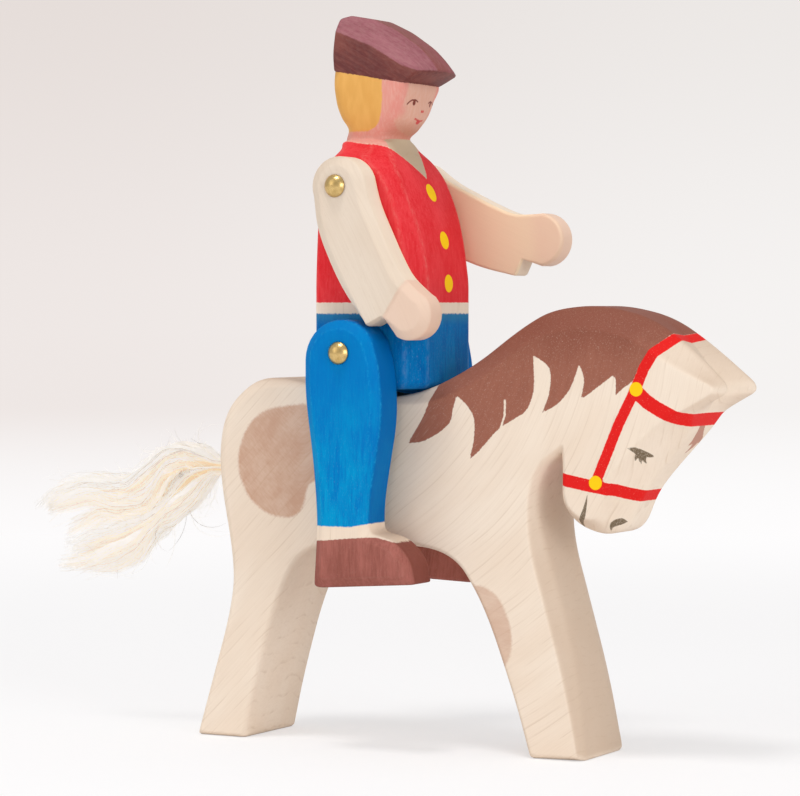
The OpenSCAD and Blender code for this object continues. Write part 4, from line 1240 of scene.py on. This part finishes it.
def hat_finish(paints, sizes):
    """Plum stain, browner on the sides and darker on the flat along the top. The top's plum is a
    thinner stain and is also painted lighter, as painted light from above.
    """
    look = Finish("stained_hat")
    bare, height = maple(look, sizes)
    side = stained(look, bare, paints.hat_side, paints.hat_deep, 0.06, 0.03)
    # The top: thinner, pinker stain, painted lighter as well, as painted light from above
    top = stained(look, bare, paints.hat_top_stain_and_light, paints.hat_rim, 0.12, 0.06)
    crown = stained(look, bare, paints.hat_crown, paints.hat_side, 0.1, 0.05)
    tint = look.coat(side, "above", 0.3, 0.25, top)
    tint = look.coat(tint, "crown", 0.3, 0.4, crown)
    look.surface(tint, 0.48)
    look.bump(height, 0.15, 0.25)
    return look.material


def arm_finish(paints, sizes):
    """Varnished maple with a pink hand. Its sawn edges are painted paler, as a painted highlight,
    and its inner faces warmer and paler, as painted light where they lie in the torso's shade.
    """
    look = Finish("varnished_arm")
    bare, height = maple(look, sizes, 0.45)
    bare = look.mix(1.0, bare, shade(paints.varnish), "MULTIPLY")
    # Painted highlight: the sawn edges paler, where they catch the light from above
    bare = look.mix(look.math("MULTIPLY", look.number("rim"), 0.6), bare, shade(paints.edge))
    # Painted light: the inner faces warmer and paler, lifted where they lie in the torso's shade
    bare = look.mix(look.math("MULTIPLY", look.number("inner"), 0.7), bare, shade(paints.inner))
    hand = look.mix(look.step(look.number("rim"), 0.1, 0.9, 0.5, 0.75), bare, shade(paints.hand))
    tint = look.coat(bare, "hand", 0.15, 0.4, hand)
    look.surface(tint, 0.48)
    look.bump(height, 0.12, 0.25)
    return look.material


def leg_finish(paints, sizes):
    """Blue stain, deeper at the thigh, a bare sock and a red-brown shoe. The sawn edges of the
    legs and shoes are painted darker, as painted shade.
    """
    look = Finish("stained_leg")
    bare, height = maple(look, sizes)
    blue = stained(look, bare, paints.leg, paints.leg_deep, 0.04, 0.0)
    blue = look.mix(look.step(look.number("hem"), -48, -12, 0.75, 0.0), blue, shade(paints.leg_deep))
    shoe = stained(look, bare, paints.shoe, paints.shoe_fibre, 0.08, 0.05)
    # rim is 1 on the sawn edges: there the legs and the shoes are painted darker, as painted shade
    rim = look.step(look.number("rim"), 0.1, 0.8, 0.0, 0.75)
    blue = look.mix(rim, blue, shade(paints.leg_edge_shade))
    rub = look.step(look.noise(look.grain((1.3, 1.3, 0.9)), 3.0, 0.7), 0.45, 0.7, 0.0, 0.55)
    blue = look.mix(look.math("MULTIPLY", look.number("wear"), rub), blue, shade(paints.leg_worn))
    # Painted shade: the shoes' sawn edges in darker brown
    shoe = look.mix(rim, shoe, shade(paints.shoe_edge_shade))
    tint = look.coat(blue, "hem", 0.35, 0.2, bare)
    tint = look.coat(tint, "shoe", 0.3, 0.15, shoe)
    look.surface(tint, 0.5)
    look.bump(height, 0.12, 0.25)
    return look.material


def brass_finish(paints):
    """Brass, duller in clouds."""
    look = Finish("domed_brass")
    cloud = look.noise(look.grain((0.7, 0.7, 0.7)), 3.0, 0.6)
    tint = look.mix(look.step(cloud, 0.35, 0.7), shade(paints.brass), shade(paints.brass_dull))
    look.surface(tint, look.step(cloud, 0.3, 0.7, 0.27, 0.36), 0.5)
    look.shader.inputs["Metallic"].default_value = 1.0
    look.bump(look.noise(look.grain((1.5, 1.5, 1.5)), 2.0), 0.05, 0.1)
    return look.material


# Share of its colour that a fibre sends back from each of its two shaders. The two shares add
# up to more than 1, so the fibres send back more light than reaches them: painted light.
FIBRE_SHARE = 0.575


def fibre_finish(paints):
    """Bleached fibre that lets light through, ochre where yellowed and greyer where dim, which is
    painted shade. Its two shaders together send back more light than reaches it: painted light.
    """
    look = Finish("tail_fibre")
    tone = look.step(look.noise(look.local((0.5, 0.5, 0.5)), 3.0, 0.7), 0.3, 0.7)
    tint = look.mix(tone, shade(paints.fibre, FIBRE_SHARE), shade(paints.fibre_pale, FIBRE_SHARE))
    tint = look.mix(look.number("yellowed"), tint, shade(paints.fibre_root, FIBRE_SHARE))
    # Painted shade: greyer where dim
    tint = look.mix(look.number("dim"), tint, shade(paints.fibre_shade, FIBRE_SHARE))
    look.surface(tint, 0.35, 0.4)
    through = look.node("ShaderNodeBsdfTranslucent")
    look.put(tint, through.inputs["Color"])
    # Painted light: the two shaders are added, so the fibre sends back more light than reaches it
    both = look.node("ShaderNodeAddShader")
    look.put(look.shader.outputs[0], both.inputs[0])
    look.put(through.outputs[0], both.inputs[1])
    look.put(both.outputs[0], look.tree.nodes["Material Output"].inputs["Surface"])
    return look.material


def thread_finish(paints):
    """Waxed thread, whose turns show as bands round the tail's root, darker between the turns as
    painted shade in the grooves.
    """
    look = Finish("waxed_thread")
    turns = look.node("ShaderNodeTexWave", bands_direction="X")
    look.put(look.local((0.9, 0.9, 0.9)), turns.inputs["Vector"])
    turns.inputs["Scale"].default_value = 1.0
    # Painted shade: darker in the grooves between the turns
    tint = look.mix(turns.outputs["Fac"], shade(paints.thread_groove_shade), shade(paints.thread))
    look.surface(tint, 0.6)
    look.bump(turns.outputs["Fac"], 0.6, 0.3)
    return look.material


# Settings that a user would change

def paint(name, description, default):
    """A setting that holds a colour."""
    return FloatVectorProperty(name=name, description=description, subtype="COLOR", size=3,
                               min=0, max=1, default=default)


class RiderPaints(bpy.types.PropertyGroup):
    """Stains and paints, as they look on the finished toy, and the colours of painted light and shade."""
    spot: paint("Spot", "Thin brown wash of the spots", (0.745, 0.55, 0.44))
    mane: paint("Mane", "Brown stain of the mane", (0.615, 0.395, 0.325))
    mane_top: paint("Mane crest", "Darker brown along the crest", (0.55, 0.335, 0.275))
    mane_deep: paint("Mane fibre", "Brown that pools along the fibres", (0.52, 0.31, 0.25))
    forelock: paint("Forelock", "Brown of the lock on the forehead", (0.74, 0.55, 0.48))
    bridle: paint("Bridle", "Red of the straps", (0.88, 0.14, 0.13))
    button: paint("Buttons", "Yellow of the buttons and bosses", (0.99, 0.8, 0.1))
    ink: paint("Ink", "Grey-brown of the horse's eye, mouth and nostril", (0.45, 0.385, 0.305))
    skin: paint("Skin", "Pale pink of the face", (0.865, 0.67, 0.59))
    blush: paint("Blush", "Pink of the cheeks", (0.89, 0.57, 0.53))
    chin: paint("Chin", "Brown in the shade of the chin and collar", (0.72, 0.45, 0.34))
    # Painted shade: darker wood in the shirt's V under the chin
    collar: paint("Collar", "Darkened wood inside the collar", (0.72, 0.63, 0.5))
    hair: paint("Hair", "Ochre of the hair", (0.88, 0.655, 0.35))
    hair_light: paint("Light hair", "Thinner ochre of the hair", (0.905, 0.69, 0.385))
    lips: paint("Lips", "Red of the mouth and the nose", (0.8, 0.31, 0.3))
    brow: paint("Eyes", "Brown of the eyes", (0.5, 0.25, 0.22))
    vest: paint("Vest", "Red of the vest", (0.91, 0.26, 0.28))
    vest_deep: paint("Deep vest", "Red that pools in the vest", (0.87, 0.16, 0.19))
    trousers: paint("Trousers", "Blue of the trousers on the torso", (0.0, 0.475, 0.735))
    trousers_deep: paint("Deep trousers", "Blue that pools in the trousers", (0.0, 0.37, 0.655))
    belt: paint("Belt line", "Thin greenish blue where the trousers begin", (0.25, 0.52, 0.62))
    leg: paint("Legs", "Blue of the legs", (0.0, 0.59, 0.8))
    leg_deep: paint("Deep legs", "Blue that pools on the legs", (0.0, 0.455, 0.74))
    leg_worn: paint("Worn legs", "Paler blue along the corners of the legs", (0.16, 0.64, 0.83))
    # Painted shade: darker blue on the legs' sawn edges
    leg_edge_shade: paint("Leg edges", "Darker blue on the sawn edges of the legs", (0.0, 0.385, 0.68))
    shoe: paint("Shoes", "Red-brown of the shoes", (0.665, 0.405, 0.365))
    shoe_fibre: paint("Shoe fibre", "Brown that lies along the fibres of the shoes", (0.56, 0.33, 0.29))
    # Painted shade: darker brown on the shoes' sawn edges
    shoe_edge_shade: paint("Deep shoes", "Brown that pools on the shoes", (0.465, 0.25, 0.21))
    hat_side: paint("Hat side", "Brown-plum of the hat's sides", (0.52, 0.3, 0.275))
    hat_deep: paint("Deep hat", "Plum that pools on the hat", (0.4, 0.22, 0.22))
    # Thinner stain of the top, painted lighter as well, as painted light from above
    hat_top_stain_and_light: paint("Hat top", "Plum of the hat's top", (0.635, 0.4, 0.43))
    hat_crown: paint("Hat crown", "Darker plum of the flat along the hat's top", (0.57, 0.31, 0.33))
    hat_rim: paint("Deep hat top", "Plum that pools on the hat's top", (0.55, 0.32, 0.35))
    hand: paint("Hand", "Pink wash of the hands", (0.915, 0.765, 0.68))
    varnish: paint("Varnish", "How the varnish darkens the arms", (0.947, 0.947, 0.947))
    # Painted light: warmer, paler inner faces of the arms, which lie in the torso's shade
    inner: paint("Inner arm", "Warm varnish on the inner faces of the arms", (0.97, 0.86, 0.71))
    # Painted highlight: paler wood on the arms' sawn edges
    edge: paint("Edge", "Paler wood on the arms' sawn edges", (0.98, 0.91, 0.82))
    brass: paint("Brass", "Bright brass of the nails", (0.86, 0.735, 0.49))
    brass_dull: paint("Dull brass", "Tarnished brass of the nails", (0.77, 0.645, 0.41))
    fibre: paint("Tail fibre", "Cream of the tail", (0.995, 0.98, 0.955))
    fibre_pale: paint("Pale tail fibre", "Palest fibres", (1.0, 0.995, 0.98))
    fibre_root: paint("Tail root", "Ochre near the rump", (0.985, 0.87, 0.7))
    # Painted shade: grey of the dim fibres and stray hairs
    fibre_shade: paint("Dull fibres", "Greyer fibres and stray hairs", (0.62, 0.59, 0.55))
    thread: paint("Thread", "Waxed thread at the tail's root", (0.78, 0.7, 0.52))
    # Painted shade in the grooves between the turns
    thread_groove_shade: paint("Dark thread", "Between the turns of the thread", (0.55, 0.47, 0.33))


class RiderSizes(bpy.types.PropertyGroup):
    """Sizes and colours of the wood's figure."""
    ring_gap: FloatProperty(name="Growth line gap", description="Millimetres between growth lines",
                            default=2.4, min=0.5, max=10)
    ring_depth: FloatProperty(name="Growth line depth", description="How dark growth lines are",
                              default=0.4, min=0, max=1, subtype="FACTOR")
    wood_light: paint("Light wood", "Palest wood", (0.945, 0.882, 0.812))
    wood_warm: paint("Warm wood", "Warmer wood", (0.925, 0.85, 0.772))
    wood_line: paint("Growth lines", "Darkest growth lines", (0.8, 0.7, 0.6))
    wood_end: paint("End grain", "Wood cut across its fibres", (0.79, 0.69, 0.6))
    hairs: IntProperty(name="Fibres", description="Number of fibres in each share of a lock of the tail",
                       default=700, min=50, max=900)
    shares: IntProperty(name="Shares", description="Number of shares in each of the tail's two locks",
                        default=2, min=1, max=4)


class StageSizes(bpy.types.PropertyGroup):
    """Camera, light and floor."""
    camera_distance: FloatProperty(name="Camera distance", description="From the camera to the toy's axis",
                                   subtype="DISTANCE", unit="LENGTH", default=0.95, min=0.2)
    camera_height: FloatProperty(name="Camera height", description="Above the floor", subtype="DISTANCE",
                                 unit="LENGTH", default=0.131, min=0)
    camera_turn: FloatProperty(name="Camera turn", description="Round the toy, from its right side",
                               subtype="ANGLE", unit="ROTATION", default=math.radians(27.8))
    camera_dip: FloatProperty(name="Camera dip", description="Below the horizon", subtype="ANGLE",
                              unit="ROTATION", default=math.radians(1.63))
    camera_lens: FloatProperty(name="Lens", description="Focal length for a 36 mm wide sensor",
                               default=142.65, min=10)
    backdrop: paint("Backdrop", "Pale grey behind the toy", (0.962, 0.952, 0.947))
    backdrop_top: paint("Backdrop top", "Greyer top of the backdrop", (0.926, 0.91, 0.9))
    backdrop_left: paint("Backdrop left", "How the backdrop darkens to the left", (0.972, 0.953, 0.947))
    floor: paint("Floor", "White of the floor", (0.985, 0.98, 0.98))
    floor_glow: paint("Floor glow", "White that the floor fades from", (0.998, 0.994, 0.996))


# Operators

def settings(context):
    """The three groups of settings, as the scene holds them."""
    scene = context.scene
    return scene.rider_paints, scene.rider_sizes, scene.rider_stage


class BuildHorse(bpy.types.Operator):
    """Sawn and stained horse"""
    bl_idname = "rider.horse"
    bl_label = "Horse"

    def execute(self, context):
        paints, sizes, _ = settings(context)
        piece = horse_piece(horse_finish(paints, sizes))
        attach(piece, "horse")
        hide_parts("horse_body")
        return {"FINISHED"}


class BuildTail(bpy.types.Operator):
    """Loose switch of fibre, and the thread round its root"""
    bl_idname = "rider.tail"
    bl_label = "Tail"

    def execute(self, context):
        paints, sizes, _ = settings(context)
        look = fibre_finish(paints)
        pieces = []
        for k in range(sizes.shares):
            for word, guides, seed, ochre in SHARED_LOCKS:
                name = f"tail_{word}_lock_{k}"
                pieces.append(tail_lock(name, guides, sizes.hairs, seed + k, ochre, look))
        pieces.append(tail_lock("tail_middle_lock", MIDDLE_LOCK, sizes.hairs // 2, MIDDLE_SEED,
                                MIDDLE_OCHRE, look))
        # Packed fibres of this size come out far too dark when they shade each other, so the locks
        # stay out of shadows, reflections and bounced light. The wisps don't.
        for piece in pieces:
            piece.visible_shadow = piece.visible_diffuse = False
            piece.visible_transmission = piece.visible_glossy = False
        pieces.append(tail_wisps("tail_wisps", WISPS, WISP_SEED, look))
        for piece in pieces:
            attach(piece, "horse")
            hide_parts("tail_hair")
        thread = frame["nodes"]["tail_binding"]
        thread.data.materials.clear()
        thread.data.materials.append(thread_finish(paints))
        return {"FINISHED"}


class BuildTorso(bpy.types.Operator):
    """Carved torso and head with the hat"""
    bl_idname = "rider.torso"
    bl_label = "Torso, head and hat"

    def execute(self, context):
        paints, sizes, _ = settings(context)
        for piece in (torso_piece(torso_finish(paints, sizes)), hat_piece(hat_finish(paints, sizes))):
            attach(piece, "rider")
            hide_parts("torso")
        return {"FINISHED"}


class BuildArms(bpy.types.Operator):
    """Both arms, each on its shoulder nail"""
    bl_idname = "rider.arms"
    bl_label = "Arms"

    def execute(self, context):
        paints, sizes, _ = settings(context)
        look = arm_finish(paints, sizes)
        arms = (("right_arm", -1, 0, 0), ("left_arm", 1, LEFT_ARM_RAISED, LEFT_FIST_EXTRA))
        for name, side, swing, extra in arms:
            piece = limb(f"{name}_wood", arm_rows(extra), ARM_THICKNESS, side, SHOULDER, swing, ARM_GRAIN,
                         arm_paint, look, wrist_step)
            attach(piece, name)
            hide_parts(name)
        return {"FINISHED"}


class BuildLegs(bpy.types.Operator):
    """Both legs, each on its hip nail"""
    bl_idname = "rider.legs"
    bl_label = "Legs"

    def execute(self, context):
        paints, sizes, _ = settings(context)
        look = leg_finish(paints, sizes)
        legs = (("right_leg", -1, 0, 0), ("left_leg", 1, LEFT_LEG_BACK, LEFT_LEG_EXTRA))
        for name, side, swing, extra in legs:
            piece = limb(f"{name}_wood", leg_rows(extra), LEG_THICKNESS, side, HIP, swing, LEG_GRAIN,
                         leg_paint(extra), look)
            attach(piece, name)
            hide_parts(name)
        return {"FINISHED"}


class BuildNails(bpy.types.Operator):
    """Four domed brass nails"""
    bl_idname = "rider.nails"
    bl_label = "Nails"

    def execute(self, context):
        look = brass_finish(settings(context)[0])
        for joint, at, thickness in (("shoulder", SHOULDER, ARM_THICKNESS), ("hip", HIP, LEG_THICKNESS)):
            for word, side in (("right", -1), ("left", 1)):
                node = f"{word}_{joint}_nail"
                piece = nail_piece(f"{node}_brass", at, thickness, side, look)
                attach(piece, "rider")
                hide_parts(node)
        return {"FINISHED"}


# Strength of the world's light. Lamps: name, turn and tilt in degrees, distance and size in metres,
# and power
WORLD_LIGHT = 0.6
LAMPS = (("key", -60, 25, 1.3, 0.8, 2.5), ("fill", 35, 12, 1.4, 0.6, 4.5), ("top", -28, 74, 1.4, 0.3, 6.3))
# Place that the lamps face, and the upright line that the camera faces, as x and y, in metres
LAMP_AIM = np.array([0, 0, 0.1])
CAMERA_AXIS = (MID_X * MM, -0.0051)
SENSOR_WIDTH = 36


def leftwards(look, way, stage):
    """0 at the right of the camera's view and 1 at its left, from a direction."""
    across = look.node("ShaderNodeVectorMath", operation="DOT_PRODUCT")
    look.put(way, across.inputs[0])
    across.inputs[1].default_value = (-math.cos(stage.camera_turn), -math.sin(stage.camera_turn), 0)
    return look.step(across.outputs["Value"], -0.13, 0.13)


def floor_object(stage):
    """Round floor, shaded near the toy and fading into the backdrop's colour far from it."""
    angles = np.linspace(0, 2 * math.pi, 97)[:-1]
    radii = (0.3, 0.8, 2, 6, 14)
    rounds = [np.column_stack([r * np.cos(angles), r * np.sin(angles), 0 * angles]) for r in radii]
    points = np.vstack([[0, 0, 0]] + rounds)
    rings = net(len(radii), angles.size) + 1
    faces = rings[:, ::-1].tolist() + fan(np.arange(angles.size) + 1, 0).tolist()
    mesh = bpy.data.meshes.new("floor")
    mesh.from_pydata(points.tolist(), [], faces)
    look = Finish("pale_floor")
    rays = look.node("ShaderNodeLightPath")
    mirrored = look.math("MAXIMUM", rays.outputs["Is Glossy Ray"], rays.outputs["Is Transmission Ray"])
    seen = look.math("MAXIMUM", rays.outputs["Is Camera Ray"], mirrored)
    place_in = look.node("ShaderNodeTexCoord").outputs["Object"]
    flat = look.node("ShaderNodeVectorMath", operation="LENGTH")
    look.put(place_in, flat.inputs[0])
    way = look.node("ShaderNodeVectorMath", operation="NORMALIZE")
    look.put(place_in, way.inputs[0])
    far_tint = look.mix(leftwards(look, way.outputs[0], stage), shade(stage.backdrop),
                        shade(stage.backdrop_left), "MULTIPLY")
    glow = look.node("ShaderNodeEmission")
    look.put(look.mix(look.step(flat.outputs["Value"], 0.3, 3.4), shade(stage.floor_glow), far_tint),
             glow.inputs["Color"])
    look.surface(shade(stage.floor), 0.9, 0.0)
    share = look.math("MULTIPLY", seen, look.step(flat.outputs["Value"], 0.2, 0.9, 0.5, 1.0))
    both = look.blend(share, look.shader.outputs[0], glow.outputs[0])
    look.put(both, look.tree.nodes["Material Output"].inputs["Surface"])
    mesh.materials.append(look.material)
    floor = bpy.data.objects.new("floor", mesh)
    bpy.context.scene.collection.objects.link(floor)
    return floor


def world_light(stage):
    """Even pale light, seen by the camera as a backdrop that turns greyer upwards and leftwards."""
    world = bpy.data.worlds.new("studio")
    bpy.context.scene.world = world
    world.use_nodes = True
    look = Nodes(world.node_tree)
    look.tree.nodes.clear()
    way = look.node("ShaderNodeTexCoord").outputs["Generated"]
    parts = look.node("ShaderNodeSeparateXYZ")
    look.put(way, parts.inputs[0])
    high = look.step(parts.outputs["Z"], -0.01, 0.11)
    tint = look.mix(high, shade(stage.backdrop), shade(stage.backdrop_top))
    tint = look.mix(leftwards(look, way, stage), tint, shade(stage.backdrop_left), "MULTIPLY")
    view, light = look.node("ShaderNodeBackground"), look.node("ShaderNodeBackground")
    look.put(tint, view.inputs["Color"])
    light.inputs["Color"].default_value = (1.0, 1.0, 1.0, 1.0)
    light.inputs["Strength"].default_value = WORLD_LIGHT
    rays = look.node("ShaderNodeLightPath")
    seen = look.math("MAXIMUM", rays.outputs["Is Camera Ray"], rays.outputs["Is Transmission Ray"])
    both = look.blend(seen, light.outputs[0], view.outputs[0])
    look.put(both, look.node("ShaderNodeOutputWorld").inputs["Surface"])


def softbox(stage, name, turn, tilt, distance, size, power):
    """Square lamp on a sphere about LAMP_AIM, facing it. turn 0 is the camera's side."""
    data = bpy.data.lights.new(name, "AREA")
    data.shape, data.size, data.energy = "SQUARE", size, power
    lamp = bpy.data.objects.new(name, data)
    a, e = stage.camera_turn + math.radians(turn), math.radians(tilt)
    way = np.array([math.sin(a) * math.cos(e), -math.cos(a) * math.cos(e), math.sin(e)])
    lamp.location = way * distance + LAMP_AIM
    lamp.rotation_euler = Euler((math.pi / 2 - e, 0, a))
    bpy.context.scene.collection.objects.link(lamp)


class BuildStage(bpy.types.Operator):
    """Floor, soft studio light and the camera"""
    bl_idname = "rider.stage"
    bl_label = "Stage"

    def execute(self, context):
        _, _, stage = settings(context)
        floor_object(stage)
        world_light(stage)
        for lamp in LAMPS:
            softbox(stage, *lamp)
        camera = bpy.data.objects.new("camera", bpy.data.cameras.new("camera"))
        camera.data.lens = stage.camera_lens
        camera.data.sensor_width = SENSOR_WIDTH
        camera.data.clip_end = 50
        turn = stage.camera_turn
        camera.location = (CAMERA_AXIS[0] + math.sin(turn) * stage.camera_distance,
                           CAMERA_AXIS[1] - math.cos(turn) * stage.camera_distance, stage.camera_height)
        camera.rotation_euler = Euler((math.pi / 2 - stage.camera_dip, 0, turn))
        context.scene.collection.objects.link(camera)
        context.scene.camera = camera
        context.scene.view_settings.view_transform = "Standard"
        return {"FINISHED"}


class RiderPanel(bpy.types.Panel):
    """Steps that build the toy, in order"""
    bl_idname = "VIEW3D_PT_rider"
    bl_label = "Rider and horse"
    bl_space_type = "VIEW_3D"
    bl_region_type = "UI"
    bl_category = "Rider"

    def draw(self, context):
        for step in STEPS:
            self.layout.operator(step.bl_idname)
        for group in settings(context):
            for name in group.__annotations__:
                self.layout.prop(group, name)


STEPS = (BuildHorse, BuildTail, BuildTorso, BuildArms, BuildLegs, BuildNails, BuildStage)
GROUPS = {"rider_paints": RiderPaints, "rider_sizes": RiderSizes, "rider_stage": StageSizes}


def register():
    """Blender learns the settings, the operators and the panel."""
    for made in (*GROUPS.values(), *STEPS, RiderPanel):
        bpy.utils.register_class(made)
    for name, group in GROUPS.items():
        setattr(bpy.types.Scene, name, PointerProperty(type=group))


def unregister():
    """Blender forgets them, in reverse."""
    for name in GROUPS:
        delattr(bpy.types.Scene, name)
    for made in reversed((*GROUPS.values(), *STEPS, RiderPanel)):
        bpy.utils.unregister_class(made)


def main():
    """Builds everything in order."""
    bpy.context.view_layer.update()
    register()
    for step in STEPS:
        group, name = step.bl_idname.split(".")
        getattr(getattr(bpy.ops, group), name)()


if __name__ == "__main__":
    main()
